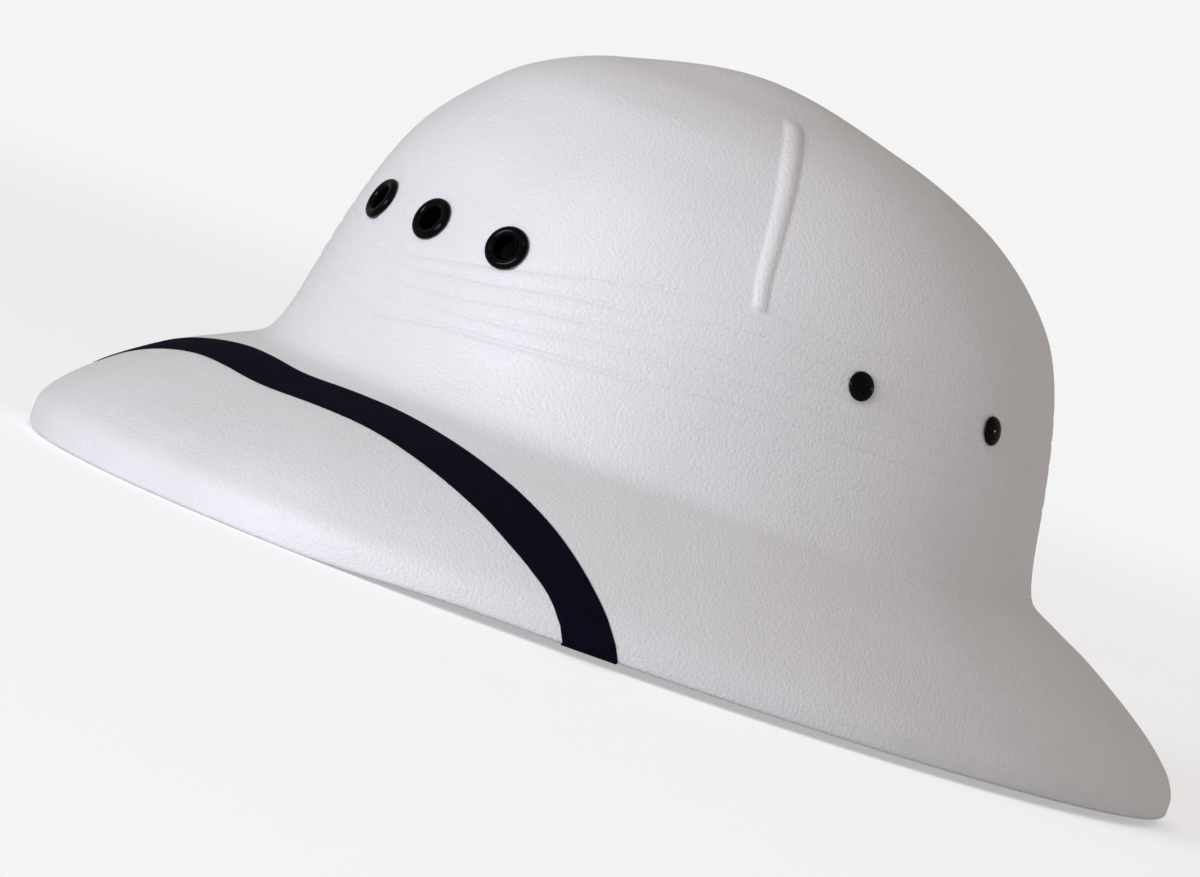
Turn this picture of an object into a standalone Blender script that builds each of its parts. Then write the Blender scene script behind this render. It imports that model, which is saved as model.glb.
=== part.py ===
"""Pith helmet: a moulded plastic shell with vent eyelets, rivets and an elastic chin strap.

Metres, +Z up. The wearer looks along -Y and the wearer's left is +X. The origin lies on the plane
that the brim rests on, under the middle of the brim. Angles round the helmet are in degrees, from
0 at the front to 90 at the wearer's left and 180 at the rear.
"""

import math
from collections import namedtuple

import bmesh
import bpy
import numpy as np
from mathutils import Matrix, Vector

GAP = 0.0003                   # air between neighbouring pieces
INNER_GAP = 0.0005             # air between the hollow side of the wall and what lies on it
FOLD_GAP = 0.0012              # the same where the folds stand out on the hollow side
DEPARTURE = 0.5                # degrees either side, for directions on the surface
RISE = 0.0003                  # height either side, for directions on the surface
MERGE = 0.00001                # points closer than this are one
CUTTER_LENGTH = 0.015

# ---- the moulded shell ----
WALL = 0.0024
RIM_ROUNDING = 0.0006          # rounding of the two corners of the brim's lower edge
RIM_CORNER = 60.0              # degrees, only corners sharper than this are rounded
SIDE_RISE = 0.0020             # the lower edge arches up by this much at the sides
ARCH_START = 22.0              # degrees from the front and rear tips where the arch begins
ARCH_END = 42.0                # and where it reaches its full rise

# Level sections of the outer surface, from the brim's lower edge to the top of the crown.
Section = namedtuple("Section", "height half_width half_length centre_y")
SECTIONS = (
    Section(0.0000, 0.1370, 0.1625, 0.0000),
    Section(0.0060, 0.1370, 0.1625, 0.0000),
    Section(0.0100, 0.1356, 0.1610, 0.0000),
    Section(0.0160, 0.1310, 0.1552, 0.0000),
    Section(0.0220, 0.1248, 0.1472, 0.0000),
    Section(0.0280, 0.1173, 0.1376, 0.0000),
    Section(0.0330, 0.1100, 0.1284, 0.0002),
    Section(0.0380, 0.1025, 0.1188, 0.0004),
    Section(0.0420, 0.0970, 0.1114, 0.0005),
    Section(0.0460, 0.0939, 0.1076, 0.0007),
    Section(0.0520, 0.0920, 0.1054, 0.0008),
    Section(0.0700, 0.0887, 0.1018, 0.0009),
    Section(0.0880, 0.0845, 0.0970, 0.0010),
    Section(0.1030, 0.0789, 0.0905, 0.0008),
    Section(0.1160, 0.0693, 0.0795, -0.0004),
    Section(0.1270, 0.0562, 0.0645, -0.0033),
    Section(0.1360, 0.0360, 0.0414, -0.0063),
    Section(0.1435, 0.0000, 0.0000, -0.0080),
)
PROFILE_SAMPLES = 800

# The brim's plan is an ellipse that is a little slimmer at its front corners and fuller at
# its rear ones. The crown's plan is a plain ellipse.
FRONT_CORNERS = -0.009
REAR_CORNERS = 0.024
CORNERS_FULL = 0.012           # height up to which the brim has these corners
CORNERS_NONE = 0.042           # height from which it has none

# Heights of the moulded puggaree folds, from the front round to the rear.
Fold = namedtuple("Fold", "front at_15 at_30 at_45 at_60 side rear")
FOLD_ANGLES = Fold(0.0, 15.0, 30.0, 45.0, 60.0, 90.0, 180.0)
FOLDS = (
    Fold(0.0570, 0.0600, 0.0623, 0.0643, 0.0662, 0.0660, 0.0650),
    Fold(0.0622, 0.0641, 0.0675, 0.0700, 0.0717, 0.0712, 0.0702),
    Fold(0.0663, 0.0682, 0.0720, 0.0753, 0.0772, 0.0765, 0.0755),
    Fold(0.0702, 0.0730, 0.0775, 0.0810, 0.0837, 0.0828, 0.0815),
    Fold(0.0727, 0.0775, 0.0832, 0.0873, 0.0898, 0.0890, 0.0875),
)
FOLD_DEPTH = 0.0006
FOLD_DEPTH_REAR = 0.35         # share of the depth that is left behind the rear rivets
FOLD_FADE_START = 70.0
FOLD_FADE_END = 105.0
FOLD_EDGE = 0.0026             # from the outermost folds to the plain wall

# Heights of the rings of facets below and above the folds.
LOWER_RING_HEIGHTS = (0.0, 0.0045, 0.008, 0.012, 0.017, 0.0225, 0.028, 0.033, 0.038, 0.0415,
                      0.0465)
UPPER_RING_HEIGHTS = (0.099, 0.108, 0.117, 0.125, 0.132, 0.1375, 0.1420)

# ---- the two raised ribs on the crown ----
RIB_WIDTH = 0.0054
RIB_HEIGHT = 0.0012
RIB_ANGLE_LOW = 57.0           # at the rib's lower end
RIB_ANGLE_TOP = 60.0           # at its upper end
RIB_TOP_HEIGHT = 0.1380
RIB_ACROSS = (-1.0, -0.6, 0.0, 0.6, 1.0)   # facets across a rib, in half widths
RIB_SMALLEST_RADIUS = 2.0 * RIB_WIDTH      # of the crown, where the facets are still this wide
FACETS_BEFORE_RIB = 8
FACETS_AFTER_RIB = 16

# ---- vent eyelets and rivets in the crown ----
Place = namedtuple("Place", "name angle height")
EYELETS = (
    Place("eyelet_front_right", -16.7, 0.0827),
    Place("eyelet_front_centre", 0.0, 0.0827),
    Place("eyelet_front_left", 16.7, 0.0827),
)
RIVETS = (
    Place("rivet_left_front", 76.0, 0.0808),
    Place("rivet_left_rear", 104.0, 0.0808),
    Place("rivet_right_front", -76.0, 0.0808),
    Place("rivet_right_rear", -104.0, 0.0808),
)
EYELET_RADIUS = 0.00595
EYELET_HOLE_RADIUS = 0.0031
EYELET_SLEEVE = 0.0006         # thickness of the sleeve through the wall
EYELET_ROLL_HEIGHT = 0.0014
EYELET_WASHER_RADIUS = 0.0048
EYELET_WASHER = 0.0008
EYELET_SIDES = 16
EYELET_ROLL_FACETS = 5
RIVET_RADIUS = 0.00395
RIVET_DOME_HEIGHT = 0.0015
RIVET_SHANK_RADIUS = 0.0017
RIVET_TAIL_RADIUS = 0.0030
RIVET_TAIL = 0.0010
RIVET_SIDES = 14
RIVET_DOME_FACETS = 3

# ---- chin strap ----
STRAP_WIDTH = 0.0136
STRAP_LIP_WIDTH = 0.0143       # along the brim's edge, which it crosses at a slant
STRAP_THICKNESS = 0.0010
STRAP_ACROSS = (-1.0, -0.5, 0.0, 0.5, 1.0)  # facets across the strap, in half widths
# The middle of the strap over the brim, from the front centre to the wearer's left.
Station = namedtuple("Station", "angle height")
STRAP_ROUTE = (
    Station(0.0, 0.0345),
    Station(10.0, 0.0350),
    Station(17.0, 0.0348),
    Station(22.0, 0.0340),
    Station(28.0, 0.0322),
    Station(33.5, 0.0296),
    Station(38.5, 0.0263),
    Station(43.0, 0.0219),
    Station(47.0, 0.0163),
    Station(49.8, 0.0108),
    Station(51.3, 0.0060),
)
STRAP_OVER_FACETS = 24         # from the front centre to the brim's edge
STRAP_NEARBY = 0.01            # share of that stretch either side, for the route's direction
STRAP_SQUARES_UP = 0.80        # share of that stretch where the strap starts to square up
STRAP_LIP_ANGLE = 52.0         # where it passes under the brim's edge
STRAP_LIP_TURNS = (0.0, 30.0, 60.0, 90.0)     # round the outer corner of the edge
STRAP_INNER_TURNS = (90.0, 112.0, 132.0)      # round the inner corner, to the free stretch
STRAP_FREE_FACETS = 3          # between the brim's edge and the crown
# From the crown's foot up its inner wall to the strap's end.
STRAP_INSIDE = (
    Station(53.0, 0.0420),
    Station(53.1, 0.0438),
    Station(53.2, 0.0465),
    Station(53.3, 0.0500),
    Station(53.5, 0.0560),
    Station(53.5, 0.0620),
)

# ---- hidden studs that hold the strap's ends ----
STUD = Station(53.5, 0.0560)
STUD_HEAD_RADIUS = 0.0042
STUD_HEAD = 0.0012
STUD_SHANK_RADIUS = 0.0018
STUD_SIDES = 14


# ---- the outer surface as a function of angle and height ----

def cubic_between(rows, slopes, distance, at):
    """Rows at the places in at, on cubic curves through rows with the given slopes."""
    last = len(distance) - 2
    i = np.clip(np.searchsorted(distance, at, side="right") - 1, 0, last)
    h = (distance[i + 1] - distance[i])[:, None]
    t = (at - distance[i])[:, None] / h
    return (
        (1.0 + 2.0 * t) * (1.0 - t) ** 2 * rows[i]
        + t * (1.0 - t) ** 2 * h * slopes[i]
        + t ** 2 * (3.0 - 2.0 * t) * rows[i + 1]
        + t ** 2 * (t - 1.0) * h * slopes[i + 1]
    )


def make_profile():
    """Finely spaced rows of Section values along the side profile, from edge to top.

    The slopes are limited so that the curve never swings past a section. It starts upright
    at the brim's edge and ends level at the top of the crown.
    """
    rows = np.array(SECTIONS)
    steps = np.hypot(np.diff(rows[:, 1]), np.diff(rows[:, 0]))
    distance = np.concatenate(([0.0], np.cumsum(steps)))
    secants = np.diff(rows, axis=0) / steps[:, None]
    product = secants[:-1] * secants[1:]
    total = np.where(product > 0.0, secants[:-1] + secants[1:], 1.0)
    slopes = np.zeros_like(rows)
    slopes[0] = secants[0]
    slopes[1:-1] = np.where(product > 0.0, 2.0 * product / total, 0.0)
    slopes[-1] = (0.0, -1.0, secants[-1, 2] / -secants[-1, 1], 0.0)
    at = np.linspace(0.0, distance[-1], PROFILE_SAMPLES)
    return cubic_between(rows, slopes, distance, at)


PROFILE = make_profile()


def smooth_step(value, start, end):
    """0 before start, 1 after end, and a smooth rise between them."""
    t = min(max((value - start) / (end - start), 0.0), 1.0)
    return t * t * (3.0 - 2.0 * t)


def section_at(height):
    """The level section of the plain outer surface at a height."""
    columns = (1, 2, 3)
    return Section(height, *(np.interp(height, PROFILE[:, 0], PROFILE[:, i]) for i in columns))


def surface_point(angle, height):
    """A point of the plain outer surface, without folds and ribs."""
    section = section_at(height)
    turn = math.radians(angle)
    corners = FRONT_CORNERS if abs(angle) < 90.0 else REAR_CORNERS
    low = 1.0 - smooth_step(height, CORNERS_FULL, CORNERS_NONE)
    fullness = 1.0 + corners * low * math.sin(2.0 * turn) ** 2
    return Vector((
        fullness * section.half_width * math.sin(turn),
        section.centre_y - fullness * section.half_length * math.cos(turn),
        height,
    ))


def surface_directions(angle, height):
    """How a surface point moves with the angle, per degree, and with the height."""
    low = max(height - RISE, 0.0)
    high = min(height + RISE, SECTIONS[-1].height)
    ahead = surface_point(angle + DEPARTURE, height) - surface_point(angle - DEPARTURE, height)
    up = surface_point(angle, high) - surface_point(angle, low)
    return ahead / (2.0 * DEPARTURE), up / (high - low)


def surface_normal(angle, height):
    """The outward normal of the plain outer surface."""
    ahead, up = surface_directions(angle, height)
    return ahead.cross(up).normalized()


def edge_rise(angle):
    """How far the brim's lower edge stands above the resting plane at an angle."""
    from_tip = min(abs(angle), 180.0 - abs(angle))
    return SIDE_RISE * smooth_step(from_tip, ARCH_START, ARCH_END)


# ---- the shell ----

def fold_height(fold, angle):
    """The height of a fold at an angle, on a line through its table row."""
    return float(np.interp(angle, FOLD_ANGLES, fold))


def fold_depth(angle):
    """The folds are fainter behind the rear rivets."""
    fade = smooth_step(angle, FOLD_FADE_START, FOLD_FADE_END)
    return FOLD_DEPTH * (1.0 - fade * (1.0 - FOLD_DEPTH_REAR))


def rib_angle(height):
    """The angle of the rib's middle line at a height."""
    heights = (FOLDS[-1].at_60, RIB_TOP_HEIGHT)
    return float(np.interp(height, heights, (RIB_ANGLE_LOW, RIB_ANGLE_TOP)))


def column_angles(height):
    """Angles of the facets' corners over one half, close together across the rib."""
    middle = rib_angle(height)
    section = section_at(height)
    radius = max(0.5 * (section.half_width + section.half_length), RIB_SMALLEST_RADIUS)
    half = math.degrees(0.5 * RIB_WIDTH / radius)
    before = np.linspace(0.0, middle - half, FACETS_BEFORE_RIB + 1)[:-1]
    across = [middle + half * share for share in RIB_ACROSS]
    after = np.linspace(middle + half, 180.0, FACETS_AFTER_RIB + 1)[1:]
    return [*before, *across, *after]


def rib_relief(column):
    """Height of the half-round rib at a column, 0 beside it."""
    index = column - FACETS_BEFORE_RIB
    if 0 <= index < len(RIB_ACROSS):
        return RIB_HEIGHT * math.sqrt(1.0 - RIB_ACROSS[index] ** 2)
    return 0.0


def raised_point(angle, height, relief):
    """A point of the outer surface, raised or sunk along its normal."""
    return surface_point(angle, height) + surface_normal(angle, height) * relief


def level_ring(height, with_rib):
    """One ring of the half shell at a constant height, apart from the arch of the edge."""
    edge_share = max(0.0, 1.0 - height / SECTIONS[1].height)
    ring = []
    for column, angle in enumerate(column_angles(height)):
        relief = rib_relief(column) if with_rib else 0.0
        ring.append(raised_point(angle, height + edge_rise(angle) * edge_share, relief))
    return ring


def fold_ring(height_at, sunk, with_rib):
    """One ring that follows the folds' slant: a crease if sunk, else the wall beside it."""
    ring = []
    for column, angle in enumerate(column_angles(FOLDS[-1].at_60)):
        relief = rib_relief(column) if with_rib else 0.0
        if sunk:
            relief -= fold_depth(angle)
        ring.append(raised_point(angle, height_at(angle), relief))
    return ring


def above_folds(angle):
    """Halfway from the top of the folds to the first level ring above them."""
    return 0.5 * (fold_height(FOLDS[-1], angle) + FOLD_EDGE + UPPER_RING_HEIGHTS[0])


def fold_rings():
    """The rings of the pleated band: each fold's crease, and the pleat's crest above it."""
    below = fold_ring(lambda angle: fold_height(FOLDS[0], angle) - FOLD_EDGE, False, False)
    above = fold_ring(lambda angle: fold_height(FOLDS[-1], angle) + FOLD_EDGE, False, True)
    plain = fold_ring(above_folds, False, True)
    rings = [below]
    for fold, next_fold in zip(FOLDS, FOLDS[1:]):
        crest = Fold(*(0.5 * (low + high) for low, high in zip(fold, next_fold)))
        rings.append(fold_ring(lambda angle: fold_height(fold, angle), True, False))
        rings.append(fold_ring(lambda angle: fold_height(crest, angle), False, False))
    rings.append(fold_ring(lambda angle: fold_height(FOLDS[-1], angle), True, False))
    return [*rings, above, plain]


def shell_rings():
    """All rings of the outer surface, from the brim's lower edge to below the crown's top."""
    lower = [level_ring(height, False) for height in LOWER_RING_HEIGHTS]
    upper = [level_ring(height, height < RIB_TOP_HEIGHT) for height in UPPER_RING_HEIGHTS]
    return lower + fold_rings() + upper


def grid_mesh(name, rows, top=None):
    """An open surface of quads through rows of points, and of triangles up to a top point."""
    bm = bmesh.new()
    lines = [[bm.verts.new(point) for point in row] for row in rows]
    for lower, upper in zip(lines, lines[1:]):
        for i in range(len(lower) - 1):
            bm.faces.new((lower[i], lower[i + 1], upper[i + 1], upper[i]))
    if top is not None:
        apex = bm.verts.new(top)
        for first, second in zip(lines[-1], lines[-1][1:]):
            bm.faces.new((first, second, apex))
    mesh = bpy.data.meshes.new(name)
    bm.to_mesh(mesh)
    bm.free()
    return mesh


def add_object(collection, name, mesh):
    """A named object for a mesh."""
    item = bpy.data.objects.new(name, mesh)
    collection.objects.link(item)
    return item


def add_mirror(item):
    """Adds the wearer's right half to a left half that is open at the middle plane."""
    mirror = item.modifiers.new("both_halves", "MIRROR")
    mirror.use_clip = True
    mirror.merge_threshold = MERGE


def add_wall(item, thickness, offset):
    """Gives an open surface its thickness, to one side of it."""
    wall = item.modifiers.new("wall", "SOLIDIFY")
    wall.thickness = thickness
    wall.offset = offset
    wall.use_even_offset = True


def add_cuts(item, cutters):
    """Cuts holes through an object."""
    for cutter in cutters:
        cut = item.modifiers.new(f"cut_{cutter.name}", "BOOLEAN")
        cut.operation = "DIFFERENCE"
        cut.solver = "EXACT"
        cut.object = cutter


def add_shell(parts, hole_cutters):
    """Crown, brim and lip in one moulding: mirrored, given its wall, rounded and drilled."""
    top = Vector((0.0, SECTIONS[-1].centre_y, SECTIONS[-1].height))
    shell = add_object(parts, "helmet_shell", grid_mesh("helmet_shell", shell_rings(), top))
    add_mirror(shell)
    add_wall(shell, WALL, -1.0)
    rounding = shell.modifiers.new("rim_rounding", "BEVEL")
    rounding.width = RIM_ROUNDING
    rounding.segments = 2
    rounding.limit_method = "ANGLE"
    rounding.angle_limit = math.radians(RIM_CORNER)
    add_cuts(shell, hole_cutters)
    shell.data.shade_smooth()
    return shell


# ---- turned hardware ----

def placed_on_shell(angle, height):
    """A frame on the outer surface whose Z axis is the outward normal."""
    turn = Vector((0.0, 0.0, 1.0)).rotation_difference(surface_normal(angle, height))
    return Matrix.Translation(surface_point(angle, height)) @ turn.to_matrix().to_4x4()


def eyelet_profile():
    """Closed section of a rolled eyelet: the roll outside, the sleeve and the washer inside."""
    sleeve = EYELET_HOLE_RADIUS + EYELET_SLEEVE
    inside = -WALL - FOLD_GAP
    middle = 0.5 * (EYELET_RADIUS + EYELET_HOLE_RADIUS)
    half = 0.5 * (EYELET_RADIUS - EYELET_HOLE_RADIUS)
    turns = [math.pi * i / EYELET_ROLL_FACETS for i in range(EYELET_ROLL_FACETS + 1)]
    roll = [(middle - half * math.cos(t), GAP + EYELET_ROLL_HEIGHT * math.sin(t)) for t in turns]
    return roll + [
        (sleeve, GAP),
        (sleeve, inside),
        (EYELET_WASHER_RADIUS, inside),
        (EYELET_WASHER_RADIUS, inside - EYELET_WASHER),
        (EYELET_HOLE_RADIUS, inside - EYELET_WASHER),
    ]


def rivet_profile():
    """Section of a rivet: its dome outside, the shank and the flat tail inside."""
    inside = -WALL - FOLD_GAP
    turns = [0.5 * math.pi * i / RIVET_DOME_FACETS for i in range(RIVET_DOME_FACETS + 1)]
    dome = [(RIVET_RADIUS * math.sin(t), GAP + RIVET_DOME_HEIGHT * math.cos(t)) for t in turns]
    return dome + [
        (RIVET_SHANK_RADIUS, GAP),
        (RIVET_SHANK_RADIUS, inside),
        (RIVET_TAIL_RADIUS, inside),
        (RIVET_TAIL_RADIUS, inside - RIVET_TAIL),
        (0.0, inside - RIVET_TAIL),
    ]


def stud_profile():
    """Section of a plain stud: a shank on the inner wall and a flat head over the strap."""
    foot = -WALL - INNER_GAP
    under_head = foot - STRAP_THICKNESS - INNER_GAP
    return [
        (0.0, foot),
        (STUD_SHANK_RADIUS, foot),
        (STUD_SHANK_RADIUS, under_head),
        (STUD_HEAD_RADIUS, under_head),
        (STUD_HEAD_RADIUS, under_head - STUD_HEAD),
        (0.0, under_head - STUD_HEAD),
    ]


def add_turned(parts, name, profile, sides, frame):
    """A solid turned from a profile about the Z axis of its frame."""
    bm = bmesh.new()
    corners = [bm.verts.new((radius, 0.0, height)) for radius, height in profile]
    for first, second in zip(corners, corners[1:]):
        bm.edges.new((first, second))
    if profile[0][0] > 0.0:
        bm.edges.new((corners[-1], corners[0]))
    mesh = bpy.data.meshes.new(name)
    bm.to_mesh(mesh)
    bm.free()
    solid = add_object(parts, name, mesh)
    solid.matrix_world = frame
    turned = solid.modifiers.new("turned", "SCREW")
    turned.steps = sides
    turned.render_steps = sides
    turned.use_merge_vertices = True
    turned.merge_threshold = MERGE
    turned.use_smooth_shade = True
    return solid


def add_hole_cutter(cutters, name, radius, sides, frame):
    """A cylinder through the wall, along the Z axis of its frame."""
    bm = bmesh.new()
    bmesh.ops.create_cone(bm, cap_ends=True, segments=sides, radius1=radius, radius2=radius,
                          depth=CUTTER_LENGTH)
    mesh = bpy.data.meshes.new(name)
    bm.to_mesh(mesh)
    bm.free()
    cutter = add_object(cutters, name, mesh)
    cutter.matrix_world = frame
    cutter.hide_render = True
    cutter.display_type = "WIRE"
    return cutter


# ---- chin strap ----

def route_on_brim(share):
    """The strap's middle over the brim: share 0 at the front centre, 1 at the brim's edge."""
    rows = np.array(STRAP_ROUTE)
    points = np.array([surface_point(*row) for row in STRAP_ROUTE])
    steps = np.linalg.norm(np.diff(points, axis=0), axis=1)
    distance = np.concatenate(([0.0], np.cumsum(steps))) / steps.sum()
    slopes = np.gradient(rows, distance, axis=0)
    slopes[0, 1] = 0.0
    return Station(*cubic_between(rows, slopes, distance, np.array([share]))[0])


def over_brim_row(share):
    """Points across the strap on the brim, square to its route until it nears the edge."""
    here = route_on_brim(share)
    before = surface_point(*route_on_brim(max(share - STRAP_NEARBY, 0.0)))
    after = surface_point(*route_on_brim(min(share + STRAP_NEARBY, 1.0)))
    route = (after - before).normalized() if share > 0.0 else Vector((1.0, 0.0, 0.0))
    round_, up = surface_directions(*here)
    squared_up = smooth_step(share, STRAP_SQUARES_UP, 1.0)
    square = surface_normal(*here).cross(route).normalized()
    across = square.lerp(round_.normalized(), squared_up).normalized()
    half_width = 0.5 * (STRAP_WIDTH + (STRAP_LIP_WIDTH - STRAP_WIDTH) * squared_up)
    tangents = np.array((round_, up)).T
    angle_step, height_step = np.linalg.lstsq(tangents, np.array(across), rcond=None)[0]
    row = []
    for part in STRAP_ACROSS:
        reach = part * half_width
        row.append(raised_point(here.angle + angle_step * reach,
                                here.height + height_step * reach, GAP))
    return row


def lip_row(out, up):
    """Points across the strap beside the brim's edge, out from its face and up from its end."""
    round_, _ = surface_directions(STRAP_LIP_ANGLE, SIDE_RISE)
    row = []
    for part in STRAP_ACROSS:
        angle = STRAP_LIP_ANGLE + part * 0.5 * STRAP_LIP_WIDTH / round_.length
        outward = surface_normal(angle, SIDE_RISE)
        row.append(surface_point(angle, SIDE_RISE) + outward * out + Vector((0.0, 0.0, up)))
    return row


def lip_rows():
    """The strap's turn round both rounded corners of the brim's edge."""
    radius = RIM_ROUNDING + GAP
    outer_corner = -RIM_ROUNDING
    inner_corner = RIM_ROUNDING - WALL - INNER_GAP
    rows = []
    for turns, centre in ((STRAP_LIP_TURNS, outer_corner), (STRAP_INNER_TURNS, inner_corner)):
        for turn in turns:
            t = math.radians(turn)
            rows.append(lip_row(centre + radius * math.cos(t),
                                RIM_ROUNDING - radius * math.sin(t)))
    return rows


def inside_row(station):
    """Points across the strap on the crown's inner wall."""
    round_, _ = surface_directions(*station)
    row = []
    for part in STRAP_ACROSS:
        angle = station.angle + part * 0.5 * STRAP_WIDTH / round_.length
        row.append(raised_point(angle, station.height, -WALL - INNER_GAP))
    return row


def free_rows(start, end):
    """The straight stretch under the brim, between the brim's edge and the crown's foot."""
    shares = [i / STRAP_FREE_FACETS for i in range(1, STRAP_FREE_FACETS)]
    return [[a.lerp(b, share) for a, b in zip(start, end)] for share in shares]


def add_strap(parts, stud_cutters):
    """Elastic webbing over the front of the brim, round its edge and up inside the crown."""
    over = [over_brim_row(i / STRAP_OVER_FACETS) for i in range(STRAP_OVER_FACETS + 1)]
    turn = lip_rows()
    inside = [inside_row(station) for station in STRAP_INSIDE]
    rows = over + turn + free_rows(turn[-1], inside[0]) + inside
    strap = add_object(parts, "chin_strap", grid_mesh("chin_strap", rows))
    strap.data.flip_normals()
    add_mirror(strap)
    add_wall(strap, STRAP_THICKNESS, 1.0)
    add_cuts(strap, stud_cutters)
    return strap


# ---- materials and scene ----

def principled(name, colour, roughness, metallic):
    """A plain Principled material."""
    material = bpy.data.materials.new(name)
    material.use_nodes = True
    shader = material.node_tree.nodes["Principled BSDF"]
    shader.inputs["Base Color"].default_value = (*colour, 1.0)
    shader.inputs["Roughness"].default_value = roughness
    shader.inputs["Metallic"].default_value = metallic
    return material


def add_collection(name):
    """A new collection in the scene."""
    collection = bpy.data.collections.new(name)
    bpy.context.scene.collection.children.link(collection)
    return collection


def add_hardware(parts, cutters, material):
    """Eyelets and rivets, and the cutters of their holes."""
    hole_cutters = []
    kinds = (
        (EYELETS, eyelet_profile(), EYELET_SIDES, EYELET_HOLE_RADIUS + EYELET_SLEEVE + GAP),
        (RIVETS, rivet_profile(), RIVET_SIDES, RIVET_SHANK_RADIUS + GAP),
    )
    for places, profile, sides, radius in kinds:
        for place in places:
            frame = placed_on_shell(place.angle, place.height)
            solid = add_turned(parts, place.name, profile, sides, frame)
            solid.data.materials.append(material)
            hole = f"hole_{place.name}"
            hole_cutters.append(add_hole_cutter(cutters, hole, radius, sides, frame))
    return hole_cutters


def add_studs(parts, cutters, material):
    """The two studs, and the cutters of their holes through the strap."""
    stud_cutters = []
    for side, name in ((1.0, "strap_stud_left"), (-1.0, "strap_stud_right")):
        frame = placed_on_shell(side * STUD.angle, STUD.height)
        stud = add_turned(parts, name, stud_profile(), STUD_SIDES, frame)
        stud.data.materials.append(material)
        radius = STUD_SHANK_RADIUS + GAP
        stud_cutters.append(add_hole_cutter(cutters, f"hole_{name}", radius, STUD_SIDES, frame))
    return stud_cutters


def main():
    """Builds the helmet."""
    for old in list(bpy.data.objects):
        bpy.data.objects.remove(old, do_unlink=True)
    parts = add_collection("pith_helmet")
    cutters = add_collection("pith_helmet_cutters")

    white_plastic = principled("white_plastic", (0.80, 0.80, 0.83), 0.45, 0.0)
    black_enamel = principled("black_enamel", (0.010, 0.010, 0.012), 0.2, 0.5)
    navy_webbing = principled("navy_webbing", (0.006, 0.006, 0.015), 0.85, 0.0)

    hole_cutters = add_hardware(parts, cutters, black_enamel)
    stud_cutters = add_studs(parts, cutters, black_enamel)
    shell = add_shell(parts, hole_cutters)
    shell.data.materials.append(white_plastic)
    strap = add_strap(parts, stud_cutters)
    strap.data.materials.append(navy_webbing)


main()
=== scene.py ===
"""Looks of the pith helmet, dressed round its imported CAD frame.

Metres, +Z up. The wearer looks along -Y and the wearer's left is +X. The helmet stands on its
brim on the floor at Z = 0. Angles round it are in degrees, 0 at the front, 90 at the wearer's
left and 180 at the rear. Every surface is a formula of two parameters, worked out with numpy as
whole arrays: an angle or a distance round the piece, and a distance along its profile.
"""

import logging
import math
from dataclasses import dataclass
from enum import Enum
from typing import Any

import bpy
import numpy as np
from mathutils import Matrix, Vector
from numpy.typing import NDArray

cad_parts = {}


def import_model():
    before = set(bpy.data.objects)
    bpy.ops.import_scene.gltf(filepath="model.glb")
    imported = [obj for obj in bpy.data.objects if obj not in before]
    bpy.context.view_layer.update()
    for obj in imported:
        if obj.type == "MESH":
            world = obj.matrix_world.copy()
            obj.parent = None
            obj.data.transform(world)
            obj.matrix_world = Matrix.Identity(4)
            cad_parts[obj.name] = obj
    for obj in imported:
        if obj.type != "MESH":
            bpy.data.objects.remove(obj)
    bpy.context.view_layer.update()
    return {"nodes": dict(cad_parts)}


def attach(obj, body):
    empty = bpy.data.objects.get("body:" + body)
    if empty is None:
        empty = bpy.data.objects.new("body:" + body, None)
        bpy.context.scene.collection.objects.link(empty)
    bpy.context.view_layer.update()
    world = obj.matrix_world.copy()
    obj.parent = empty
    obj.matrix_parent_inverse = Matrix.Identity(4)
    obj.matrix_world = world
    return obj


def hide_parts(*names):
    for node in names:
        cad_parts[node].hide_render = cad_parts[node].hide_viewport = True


Array = NDArray[np.float64]
Index = NDArray[np.int64]
Node = bpy.types.Node
Tree = bpy.types.NodeTree
Outline = list[tuple[float, float]]     # radius and height of each corner of a turned profile

BODY = "root"
PHOTO_WIDTH = 1200
PHOTO_HEIGHT = 877
SHORTEST = 1e-12                        # a vector shorter than this has no direction
MIX_A, MIX_B, MIX_RESULT = 6, 7, 2      # the colour sockets of a Mix node
LOG = logging.getLogger("pith_helmet")


# ---- small shared formulas ----

def smooth_step(value: Array, start: float, end: float) -> Array:
    """0 before start, 1 after end, and t*t*(3 - 2t) between them."""
    t = np.clip((np.asarray(value, float) - start) / (end - start), 0.0, 1.0)
    return t * t * (3.0 - 2.0 * t)


def unit(vectors: Array) -> Array:
    """The vectors at length one."""
    return vectors / np.maximum(np.linalg.norm(vectors, axis=-1, keepdims=True), SHORTEST)


def from_front(angle: Array) -> Array:
    """Degrees from the front, the shorter way round."""
    return np.abs((angle + 180.0) % 360.0 - 180.0)


def run_along(points: Array) -> Array:
    """The distance from the first point to each point, in straight steps."""
    steps = np.linalg.norm(np.diff(points, axis=0), axis=1)
    return np.concatenate(([0.0], np.cumsum(steps)))


def towards(azimuth: float, elevation: float) -> Array:
    """The direction from the helmet to an azimuth, 0 in front of it, and an elevation."""
    a, e = math.radians(azimuth), math.radians(elevation)
    return np.array([math.sin(a) * math.cos(e), -math.cos(a) * math.cos(e), math.sin(e)])


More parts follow.
